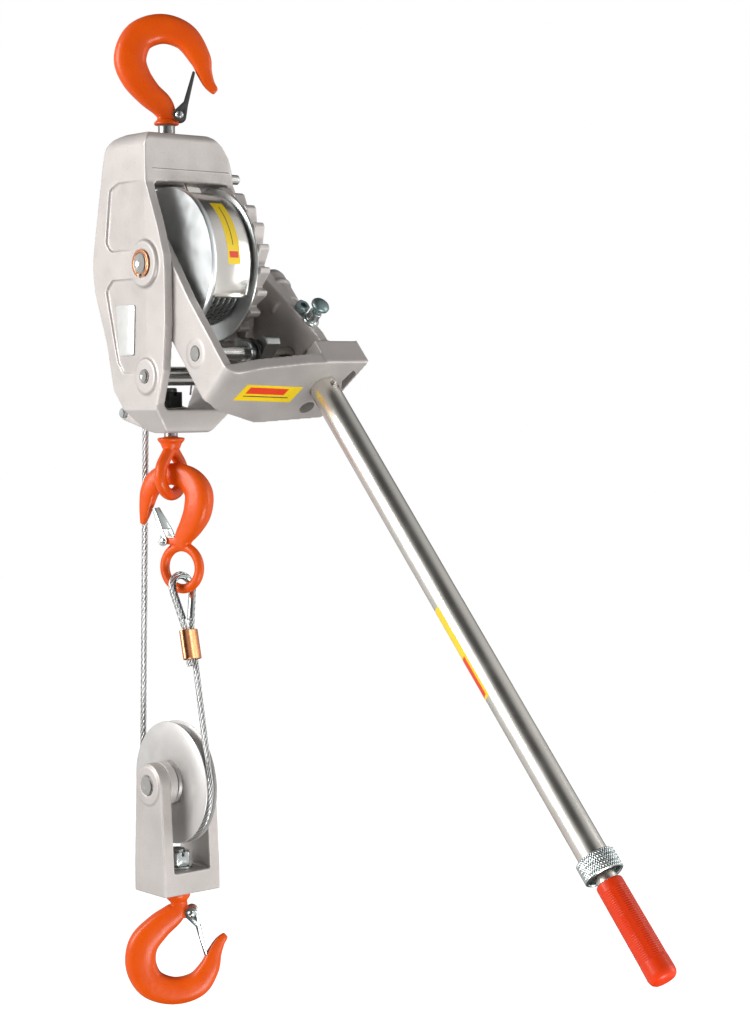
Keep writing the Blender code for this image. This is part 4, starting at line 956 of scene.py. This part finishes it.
plunger = at_yoke(PLUNGER_X, 104.0, 33.0) @ FACING_FRONT
sleeve = turned([(3.7, 13.0), (5.6, 13.0), (6.0, 12.5), (6.0, 4.2), (6.6, 3.5), (8.0, 3.2), (8.2, 2.8),
                 (8.2, 0.3), (3.7, 0.3)], closed=True)
fine("plunger_sleeve", sleeve, ZINC, plunger)
knob = turned([(0, 26.0), (3.0, 25.9), (5.6, 25.3), (7.8, 24.1), (8.8, 22.7), (9.0, 21.4), (8.6, 19.7),
               (7.6, 18.7), (6.4, 18.3), (4.0, 18.2), (3.4, 17.8), (3.4, -13.4), (2.8, -14.0), (0, -14.0)])
fine("plunger_knob", knob, KNOB, plunger)
fine("plunger_lock_nut", nut(12.0, 0.4, 7.0, 3.2), KNOB, at_yoke(67.3, 89.0, 33.2) @ FACING_FRONT)


def drive_pawl():
    hub = moved(turned([(0, 12.5), (11.4, 12.5), (12.0, 11.9), (12.0, -11.9), (11.4, -12.5), (0, -12.5)],
                       axis="x"), 27.5)
    nose = yoke_outline([(-9, 7), (-32.5, -11.5), (-34, -16.5), (-29, -18.5), (-3, -11.5), (8, -8), (2, 10)],
                        28.0, 39.4, "sn")
    tail = yoke_outline(filleted([(-8, 8), (-4, 22), (3, 26), (9, 23), (11, 3)], 2.0), 23.5, 39.4, "sn")
    return drilled(fused(gathered(hub, nose, tail), FORGED_VOXEL, 3), rod(PAWL_R + 0.3, 0, 60, "x"))


def holding_pawl():
    hub = rod(11.0, 27.0, 40.6, "x", sides=64)
    nose = outline([(-10, -2), (-6, 12), (23, 30), (30, 32), (31.5, 27), (10, 1), (4, -9)],
                   27.6, 39.2, "yz")
    lever = outline(filleted([(-4, -9.5), (-9, 4), (-44, -14), (-54, -15.5), (-56, -22), (-45, -22.5)], 2.0),
                    30.0, 36.0, "yz")
    return drilled(fused(gathered(hub, nose, lever), FORGED_VOXEL, 3), rod(6.8, 0, 60, "x"))


spring = [(21.0, -13.9 * sin(radians(v)), -13.9 * cos(radians(v))) for v in range(-60, 150, 5)]
spring += [(spring[-1][0] - 2, spring[-1][1] - 8.0, spring[-1][2] - 12.0),
           (spring[-1][0] - 4, spring[-1][1] - 12.0, spring[-1][2] - 22.0)]
fine("drive_pawl", drive_pawl(), OILED, at_yoke(0, PAWL_S, PAWL_N), CAST_SHARP)
fine("drive_pawl_spring", pipe(spring, 1.1, 5), BLACK, at_yoke(0, PAWL_S, PAWL_N))
CROSS_FRAME = AXLE_FRAME @ Matrix.Translation((0, 0, -CROSS_DROP * MM))
coil = [(24.5 - step * 0.0972, 9.6 * cos(radians(step * 10.286)), 9.6 * sin(radians(step * 10.286)))
        for step in range(176)]
coil += [(7.4, 10.5, -6.0), (7.4, 13.0, -18.0)]
fine("holding_pawl", holding_pawl(), OILED, CROSS_FRAME, CAST_SHARP)
fine("holding_pawl_spring", pipe(coil, 0.95, 4), STEEL, CROSS_FRAME)


# ---------------------------------------------------------------- handle

def walked(profile, step):
    """Points along a (radius, height, amount) profile, closed back on its start, step apart."""
    made = []
    for here, after in zip(profile, profile[1:] + profile[:1]):
        length = sqrt((after[0] - here[0]) ** 2 + (after[1] - here[1]) ** 2)
        count = max(int(length / step), 1)
        for i in range(count):
            made.append([here[k] + (after[k] - here[k]) * i / count for k in range(3)])
    return made + [made[0]]


def patterned(profile, step, columns, pattern):
    """A turned skin closed on itself, raised by pattern(angle, height) times each point's amount."""
    rows = []
    for radius, height, amount in walked(profile, step):
        line = []
        for column in range(columns):
            angle = 2 * pi * column / columns
            r = radius + amount * pattern(angle, height)
            line.append((r * cos(angle), r * sin(angle), height))
        rows.append(np.array(line))
    return grid(rows, caps=False)


def diamonds(angle, height):
    return min(abs(sin(24 * angle + height * 0.95)), abs(sin(24 * angle - height * 0.95))) * 0.7


def ribs(angle, height):
    """Fine cross ribs in eight bands round the grip, with smooth lines between the bands."""
    band = min(max(1.4 - 2.2 * abs(cos(4 * angle)) ** 6, 0.0), 1.0)
    return band * 0.45 * (0.5 + 0.5 * cos(2 * pi * height / 2.0))


tube = [(TUBE_R - 0.4, -TUBE_S0), (TUBE_R, -TUBE_S0 - 0.4), (TUBE_R, -TUBE_S1 + 0.4),
        (TUBE_R - 0.4, -TUBE_S1), (TUBE_R - 1.8, -TUBE_S1), (TUBE_R - 1.8, -TUBE_S0)]
tube_mesh = cut(turned(tube, 128, closed=True), rod(2.7, -30, 30, "y", (0, -165.0)))
fine("handle_tube", tube_mesh, TUBE, TUBE_FRAME)
mouth = COLLAR_S1 - 9.0
collar = [(TUBE_R + 0.3, -COLLAR_S0, 0), (COLLAR_R - 0.9, -COLLAR_S0, 0),
          (COLLAR_R - 0.3, -COLLAR_S0 - 0.6, 0),
          (COLLAR_R - 0.3, -COLLAR_S0 - 0.9, 1), (COLLAR_R - 0.3, -COLLAR_S1 + 0.9, 1),
          (COLLAR_R - 0.3, -COLLAR_S1 + 0.5, 0), (COLLAR_R - 0.9, -COLLAR_S1, 0),
          (COLLAR_R - 2.0, -COLLAR_S1, 0),
          (COLLAR_R - 2.6, -COLLAR_S1 + 1.0, 0), (COLLAR_R - 2.8, -mouth, 0), (9.9, -mouth, 0),
          (9.9, -mouth + 4.0, 0), (TUBE_R + 0.3, -mouth + 4.0, 0)]
fine("handle_collar", patterned(collar, 0.5, 240, diamonds), ZINC, TUBE_FRAME)
inner = [(9.5, -290.0), (9.5, 6.0 - GRIP_S1), (8.0, 6.0 - GRIP_S1), (8.0, -290.0)]
fine("extension_tube", turned(inner, 72, closed=True), TUBE, TUBE_FRAME)
grip = [(9.8, -GRIP_S0, 0), (11.2, -GRIP_S0, 0), (11.9, -GRIP_S0 - 0.8, 0), (12.1, -GRIP_S0 - 2, 0),
        (12.2, -GRIP_S0 - 8, 0), (12.0, -GRIP_S0 - 9, 1), (12.4, -GRIP_S1 + 20, 1),
        (12.7, -GRIP_S1 + 18.5, 0), (12.9, -GRIP_S1 + 7, 0), (12.5, -GRIP_S1 + 4.4, 0),
        (11.4, -GRIP_S1 + 2.1, 0), (9.6, -GRIP_S1 + 0.6, 0),
        (7.0, -GRIP_S1, 0), (0.3, -GRIP_S1, 0), (0.3, -GRIP_S1 + 5.8, 0), (9.8, -GRIP_S1 + 5.8, 0)]
fine("grip", patterned(grip, 0.4, 144, ribs), VINYL, TUBE_FRAME)


# ---------------------------------------------------------------- hooks, eye and latches

# Centre lines in each hook's own plane, with the half width at each point: (across, up, half width)
TOP_HOOK = [(-1, 136, 8.2), (0, 146, 9.5), (-5, 156, 11.5), (-17, 167, 12.7), (-29, 183, 14.7),
            (-34, 201, 15.7), (-25, 221, 15), (-3, 228.6, 14.2), (19, 221, 13), (33, 201, 10.5),
            (37, 187.5, 7.7), (41.3, 176.6, 5.8), (46.3, 170, 4.2), (48.2, 168.2, 3.0)]
BLOCK_HOOK = [(0, -616, 8.2), (1, -627, 8.6), (-5, -635, 11), (-20, -647, 13), (-34.5, -664, 14.8),
              (-37, -685, 15.2), (-27, -703.5, 14.6), (-5, -711, 13.4), (17, -705.5, 12.6),
              (29.5, -690, 10.3), (35, -675, 7.5), (40, -664.5, 5.6), (45, -658.5, 4.0), (47, -656.8, 2.8)]
CABLE_HOOK = [(11, -272, 8), (14, -262, 9.4), (23, -250, 12), (30.5, -236, 14), (32, -219, 14),
              (21, -206, 12.4), (1, -200.8, 10.7), (-16, -205.5, 10.4), (-26, -217, 9.6),
              (-30.5, -231, 7.6), (-33.5, -243, 5), (-36, -250.5, 2.6)]
LATCH_PIN_HALF, LATCH_PIN_HEAD = 9.0, 8.8


def squircle(turn, power):
    c, s = cos(turn), sin(turn)
    return abs(c) ** (2 / power) * (1 if c >= 0 else -1), abs(s) ** (2 / power) * (1 if s >= 0 else -1)


def hook_body(points, power=2.7, flat=0.72, columns=40):
    """A tapered forged hook in the xz plane, broad-faced and flattened across its plane."""
    line = blend([(x, 0.0, z, r) for x, z, r in points], 8)
    rows = []
    for i, spot in enumerate(line):
        before, after = line[max(i - 1, 0)], line[min(i + 1, len(line) - 1)]
        run = Vector((after[0] - before[0], 0, after[2] - before[2])).normalized()
        out = Vector((-run.z, 0, run.x))
        row = []
        for column in range(columns):
            u, v = squircle(2 * pi * column / columns, power)
            row.append((spot[0] + out.x * u * spot[3], v * flat * spot[3], spot[2] + out.z * u * spot[3]))
        rows.append(np.array(row))
    return grid(rows)


def torus(cx, cz, radius, wire, steps=72):
    circle = [(cx + radius * cos(2 * pi * i / steps), 0.0, cz + radius * sin(2 * pi * i / steps))
              for i in range(steps)]
    return pipe(circle, wire, 6, cyclic=True)


def hook_with_lug(points, neck, pivot, ear_r, extra=()):
    """The forging with its latch boss, drilled for the latch pin."""
    boss = rod(ear_r - 1.2, -6.4, 6.4, "y", pivot)
    away = pivot[0] / abs(pivot[0])
    reach = pivot[0] - 14 * away
    lug = outline([(reach, pivot[1] - ear_r + 1.6), (pivot[0], pivot[1] - ear_r + 1.6),
                   (pivot[0], pivot[1] + ear_r - 1.6), (reach, pivot[1] + ear_r - 1.6)], -6.1, 6.1, "xz")
    skin = fused(gathered(hook_body(points), boss, lug, *neck, *extra), FORGED_VOXEL, 4)
    return drilled(skin, rod(2.3, -30, 30, "y", pivot))


def rosette(pivot):
    """A latch pin with petalled rivet heads."""
    height = LATCH_PIN_HEAD
    shank = rod(2.0, -LATCH_PIN_HALF, LATCH_PIN_HALF, "y")
    head = turned([(0, height + 1.2), (1.2, height + 1.15), (2.6, height + 0.7), (3.6, height - 0.1),
                   (3.6, height - 0.5), (0, height - 0.5)], 48)
    notches = []
    for index in range(6):
        notch = rod(0.55, 1.9, 6.0, "x", (0, height + 0.9), 16)
        notch.transform(Matrix.Rotation(pi * index / 3, 4, "Z"))
        notches.append(notch)
    head = cut(head, *notches)
    other = head.copy()
    head.transform(Matrix.Rotation(radians(-90), 4, "X"))
    other.transform(Matrix.Rotation(radians(90), 4, "X"))
    return moved(gathered(shank, head, other), pivot[0], 0, pivot[1])


def latch(pivot, tip, ear_r, facing):
    """Two ears on the pin, folded into one strip that narrows to the hook's tip; facing is 1 or -1."""
    reach = Vector((tip[0] - pivot[0], tip[1] - pivot[1]))
    unit = reach.normalized()
    side = Vector((-unit.y, unit.x)) * facing
    bend = 0.3 * reach.length

    def at(down, across):
        spot = unit * down + side * across
        return spot.x, spot.y

    disc = [at(-ear_r * cos(radians(a)), ear_r * sin(radians(a))) for a in range(-96, 121, 8)]
    cheek = disc[::-1] + [at(bend, -4.2), at(reach.length, -1.3), at(reach.length + 0.6, 0),
                          at(reach.length, 1.2), at(bend, 0.2)]
    ears = [outline(cheek, low, high, "xz") for low, high in ((-8.4, -6.9), (6.9, 8.4))]
    strip = [at(bend + 1, -3.9), at(bend + 1, -2.4), at(reach.length, 0.2), at(reach.length, -1.2)]
    whole = joined(ears[0], outline(strip, -8.2, 8.2, "xz"), ears[1])
    for vertex in whole.vertices:
        down = Vector((vertex.co.x, vertex.co.z)).dot(unit) / MM
        if down > bend:
            vertex.co.y *= 1.0 - 0.45 * (down - bend) / (reach.length - bend)
    return softened(cut(whole, rod(2.3, -30, 30, "y", (0, 0))), 0.3, 2)


def dark_shank(obj, low, high):
    """The bare forged shank of a painted piece, as a second finish between two heights."""
    obj.data.materials.append(OILED.material)
    for face in obj.data.polygons:
        if low * MM < face.center.z < high * MM:
            face.material_index = 1


def hook_set(name, points, pivot, tip, ear_r, facing, latch_look, turn, neck=(), extra=()):
    """A hook with its latch and the latch's pin, all three on the hook's own turned frame."""
    hook = fine(name + "_hook", hook_with_lug(points, neck, pivot, ear_r, extra), ENAMEL, turn, FORGED_SHARP)
    hinge = turn @ Matrix.Translation((pivot[0] * MM, 0, pivot[1] * MM))
    fine(name + "_latch", latch(pivot, tip, ear_r, facing), latch_look, hinge)
    fine(name + "_latch_pin", rosette(pivot), ZINC, turn)
    return hook


top_neck = turned([(0, 142), (9.0, 141.6), (11.4, 139.2), (12.2, 138.4), (12.2, 137.2), (11.4, 136.4),
                   (8.2, 136.2), (8.2, 81.0), (7.4, 80.2), (0, 80.2)])
top_hook = hook_set("top", TOP_HOOK, (12.8, 145.6), (27.0, 187.0), 6.4, 1, BLACK, HOOK_FRAME, [top_neck])
dark_shank(top_hook, -200.0, AXLE_Z + 135.9)
fine("top_hook_nut", nut(25.0, 81.5, 92.5, 8.0, 3), BLACK, HOOK_FRAME)
fine("top_hook_washer", ring(16.5, 8.5, 93.2, 96.4), STEEL, HOOK_FRAME)

block_neck = turned([(0, -568.5), (7.0, -568.5), (8.0, -569.5), (8.0, -610.6), (11.8, -611.0), (12.4, -612.0),
                     (12.4, -615.5), (11.6, -617.6), (9.0, -621), (0, -621)])
block_hook = hook_set("block", BLOCK_HOOK, (13.5, -633.0), (26.5, -675.0), 6.5, -1, ZINC, HOOK_FRAME,
                      [block_neck])
dark_shank(block_hook, AXLE_Z - 610.8, -600.0)
fine("block_hook_nut", nut(24.0, -585.0, -571.5, 7.8, 3), ZINC, HOOK_FRAME)
fine("block_hook_washer", ring(15.0, 8.3, -587.7, -585.4), ZINC, HOOK_FRAME)

cable_eye = torus(CABLE_EYE_X, -292.0, 20.6, 4.8)
hook_set("cable", CABLE_HOOK, (-6.0, -266.0), (-19.5, -234.5), 5.0, 1, ZINC, CABLE_FRAME, extra=[cable_eye])

shank = turned([(0, -117.0), (5.8, -117.0), (6.6, -118.0), (6.6, -165.0), (12.8, -165.5), (13.4, -166.5),
                (13.0, -168.2), (10.4, -171.0), (8.6, -176.0), (0, -179.5)])
eye_loop = [(19.0 * cos(radians(a)), 0.0, -201.8 + 19.0 * sin(radians(a))) for a in range(137, 404, 6)]
eye_loop += [(5.0, 0.0, -179.5), (0.0, 0.0, -176.0), (-5.0, 0.0, -179.5)]
eye_mesh = fused(gathered(shank, pipe(eye_loop, 6.0, 6, cyclic=True)), FORGED_VOXEL, 4)
anchor_eye = fine("anchor_eye", eye_mesh, ENAMEL, EYE_FRAME, FORGED_SHARP)
dark_shank(anchor_eye, AXLE_Z - 164.0, 0.0)
fine("anchor_eye_nut", nut(22.0, -136.0, -121.0, 6.4, 3), BLACK, EYE_FRAME)
fine("anchor_eye_washer", ring(14.0, 6.9, -137.7, -136.3), ZINC, EYE_FRAME)


# ---------------------------------------------------------------- rope falls, loop and sleeve

EYE_SPOT = Matrix.Rotation(radians(CABLE_TURN), 4, "Z") @ Vector((CABLE_EYE_X, 0, 0))
LOOP_CENTRE = Vector((EYE_SPOT.x, EYE_SPOT.y, -312.6))
DRUM_TANGENT = Vector((FALL_X, AXLE_Y + WRAP_R + ROPE_R + 0.6, -14.0))


def sheave_angle(point, side):
    """Angle round the sheave, from +y towards +z, at which a straight fall from a point meets it."""
    away = Vector((point.y, point.z + BLOCK_DROP))
    return atan2(away.y, away.x) - side * acos(SHEAVE_ROPE_R / away.length)


def sheave_point(angle):
    return Vector((0.0, SHEAVE_ROPE_R * cos(angle), SHEAVE_ROPE_R * sin(angle) - BLOCK_DROP))


FRONT_ANGLE = sheave_angle(LOOP_CENTRE, -1)
BACK_ANGLE = sheave_angle(DRUM_TANGENT, 1)
DOWN = (sheave_point(FRONT_ANGLE) - LOOP_CENTRE).normalized()
LEVEL = Vector((cos(radians(LOOP_TURN)), sin(radians(LOOP_TURN)), 0))
ACROSS = (LEVEL - DOWN * DOWN.dot(LEVEL)).normalized()
NORMAL = ACROSS.cross(DOWN)


def loop_point(across_mm, down_mm, out_mm=0.0):
    return LOOP_CENTRE + DOWN * down_mm + ACROSS * across_mm + NORMAL * out_mm


def drop_to(z):
    return (z - LOOP_CENTRE.z) / DOWN.z


SLEEVE_TOP, SLEEVE_BOTTOM = drop_to(-352.0), drop_to(-380.0)


def teardrop(radius, half, leg_end, steps=40):
    """One side to the other of a drop shape: legs that close below, a round top."""
    turns = [radians(194 - 208 * i / steps) for i in range(steps + 1)]
    return ([(-half - 1.4, leg_end), (-half, SLEEVE_TOP + 2.0)]
            + [(radius * cos(a), -radius * sin(a)) for a in turns] + [(half, SLEEVE_TOP + 2.0)])


def thimble():
    """A channel that cups the inner side of the loop."""
    flat = teardrop(14.2, 5.6, SLEEVE_TOP - 6.0)[1:]
    flat[0], flat[-1] = (-6.4, SLEEVE_TOP - 10.0), (6.4, SLEEVE_TOP - 10.0)
    line = blend([(u, 0.0, v) for u, v in flat], 2)
    rows = []
    for i, spot in enumerate(line):
        before, after = line[max(i - 1, 0)], line[min(i + 1, len(line) - 1)]
        run = (after - before).normalized()
        inward = Vector((run.z, 0, -run.x))
        if inward.dot(Vector((0, 0, 6.0)) - spot) < 0:
            inward = -inward
        row = []
        for radius, turns in ((3.5, range(-82, 83, 12)), (4.4, range(82, -83, -12))):
            for a in turns:
                shift = inward * radius * cos(radians(a))
                row.append(loop_point(spot.x + shift.x, spot.z + shift.z, radius * sin(radians(a))))
        rows.append(np.array([tuple(p) for p in row]))
    return grid(rows)


def rope_sleeve():
    """A pressed two-lobed sleeve with rounded ends."""
    rows = []
    length = SLEEVE_BOTTOM - SLEEVE_TOP
    count = 72
    for i in range(count + 1):
        t = i / count
        end = min(t, 1 - t) * length
        size = 1.0 - 0.06 * max(1.0 - end / 0.8, 0.0) ** 2
        row = []
        for column in range(56):
            a = 2 * pi * column / 56
            waist = 1.0 - 0.13 * abs(sin(a)) ** 8
            u = 10.8 * cos(a) * size
            w = 6.7 * sin(a) * waist * size
            row.append(tuple(loop_point(u, SLEEVE_TOP + t * length, w)))
        rows.append(np.array(row))
    return grid(rows)


half = ROPE_R + 0.15
loop_flat = teardrop(14.2, half, SLEEVE_BOTTOM + 6.5) + [(half, SLEEVE_BOTTOM + 0.5)]
loop_path = [tuple(loop_point(u, v)) for u, v in loop_flat]
fine("rope_loop", laid_rope(loop_path, step=1.1, radius=ROPE_R - 0.05), WIRE, LINE_FRAME, ROPE_SHARP)
fine("thimble", thimble(), ZINC, LINE_FRAME)
fine("rope_sleeve", rope_sleeve(), COPPER, LINE_FRAME, SLEEVE_SHARP)

fall_top = loop_point(half, SLEEVE_BOTTOM + 1.2)
fall_foot = sheave_point(FRONT_ANGLE)
sweep = BACK_ANGLE + 2 * pi - FRONT_ANGLE
bend = [tuple(sheave_point(FRONT_ANGLE + sweep * i / 96)) for i in range(97)]
back_foot = sheave_point(BACK_ANGLE)
right_turn = -2 * pi * (fall_foot - fall_top).length / LAY
left_turn = 2 * pi * SHEAVE_ROPE_R * abs(sweep) / LAY
right_rope = laid_rope([tuple(fall_top), tuple(fall_foot)], right_turn)
right_fall = fine("rope_fall_right", right_rope, WIRE, LINE_FRAME, ROPE_SHARP)
fine("rope_in_sheave", laid_rope(bend, step=1.2), WIRE, LINE_FRAME, ROPE_SHARP)
left_rope = laid_rope([tuple(back_foot), tuple(DRUM_TANGENT)], left_turn)
left_fall = fine("rope_fall_left", left_rope, WIRE, LINE_FRAME, ROPE_SHARP)
for obj, top in ((left_fall, DRUM_TANGENT), (right_fall, fall_top)):
    low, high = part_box(obj.name[:-5])
    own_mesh(obj)


# ---------------------------------------------------------------- sheave block

def block_frame():
    side = [(-26, -610), (26, -610), (26, -588), (22.5, -523)]
    side += arc(0, -BLOCK_DROP, 21.5, 0, 180, 40) + [(-22.5, -523), (-26, -588)]
    body = outline(filleted(side, 2.0, 2), -33, 33, "yz")
    body = cut(body, box((-21, 21), (-50, 50), (-588, -450)))
    rim = ring(19.0, 9.9, -1.6, 3.0, "x", edge=0.6)
    skin = fused(gathered(body, moved(rim, -33, 0, -BLOCK_DROP)), WHEEL_VOXEL, 4)
    return drilled(skin, rod(9.9, -60, 60, "x", (0, -BLOCK_DROP)), rod(8.3, -640, -560, "z"))


def sheave():
    groove = [(53.2 + 3.9 * (1 - sin(radians(v))), 3.9 * cos(radians(v))) for v in range(0, 181, 12)]
    profile = [(13.0, 10), (19.4, 10), (20.0, 9.4), (20.6, 6.0), (21.4, 6.6), (22.4, 7.0), (40.0, 7.0),
               (58.8, 7.0), (59.8, 6.4), (60.0, 5.6)] + groove
    profile += [(60.0, -5.6), (59.8, -6.4), (58.8, -7.0), (40.0, -7.0), (22.4, -7.0), (21.4, -6.6),
                (20.6, -6.0), (20.0, -9.4), (19.4, -10), (13.0, -10)]
    return turned_to(turned(profile, 144, "z", closed=True), "x")


fine("block_frame", block_frame(), CAST, LINE_FRAME, CAST_SHARP)
for side, low, high in (("left", -22.0, -12.0), ("right", 12.0, 22.0)):
    add("block_boss_" + side, ring(22.0, 14.8, low, high, "x", edge=1.2), CAST, "block", BLOCK_AXLE)
fine("sheave", sheave(), MACHINED, BLOCK_AXLE)
fine("sheave_bushing", ring(12.7, 9.9, -11, 11, "x"), BRONZE, BLOCK_AXLE)
fine("sheave_pin", pin(9.6, -36.0, 34.5, 0.9, dimple=1.0), STEEL, BLOCK_AXLE)
for side, low, high in (("left", -20.6, -11.5), ("right", 11.5, 20.6)):
    fine("sheave_washer_" + side, ring(14.5, 9.9, low, high, "x"), STEEL, BLOCK_AXLE)


# ---------------------------------------------------------------- labels on the yoke and tube

WALL_FACE = 158.0
FILM, PRINT = 0.15, 0.22    # how far a label and the marks on it stand off the wall

# Corners as (x, n) on the outer face of the yoke's end wall
for name, corners, thick, look in (
        ("yoke_label", [(-15, 4), (53, 0), (48, -21), (-20, -17)], FILM, YELLOW),
        ("yoke_label_red", [(-9, 0.5), (37.3, -2.3), (35.3, -10.7), (-11, -8)], PRINT, RED),
        ("yoke_label_line", [(-11.6, -10.7), (42.8, -13.9), (42.5, -15.1), (-11.9, -11.9)], PRINT, INK)):
    add(name, yoke_outline(corners, WALL_FACE, WALL_FACE + thick, "xn"), look, "handle", YOKE_FRAME)


def wrapped_film(start, end, low, high, thick):
    """A film bent round the underside of the handle tube between two angles and two distances."""
    points = arc(0, 0, TUBE_R + thick, start, end, 60) + arc(0, 0, TUBE_R, end, start, 60)
    return outline(points, -high, -low, "xy")


add("tube_label", wrapped_film(-43, 182, 420, 518, 0.12), YELLOW, "handle", TUBE_FRAME)
add("tube_label_red", wrapped_film(30, 171, 474, 515, 0.2), RED, "handle", TUBE_FRAME)
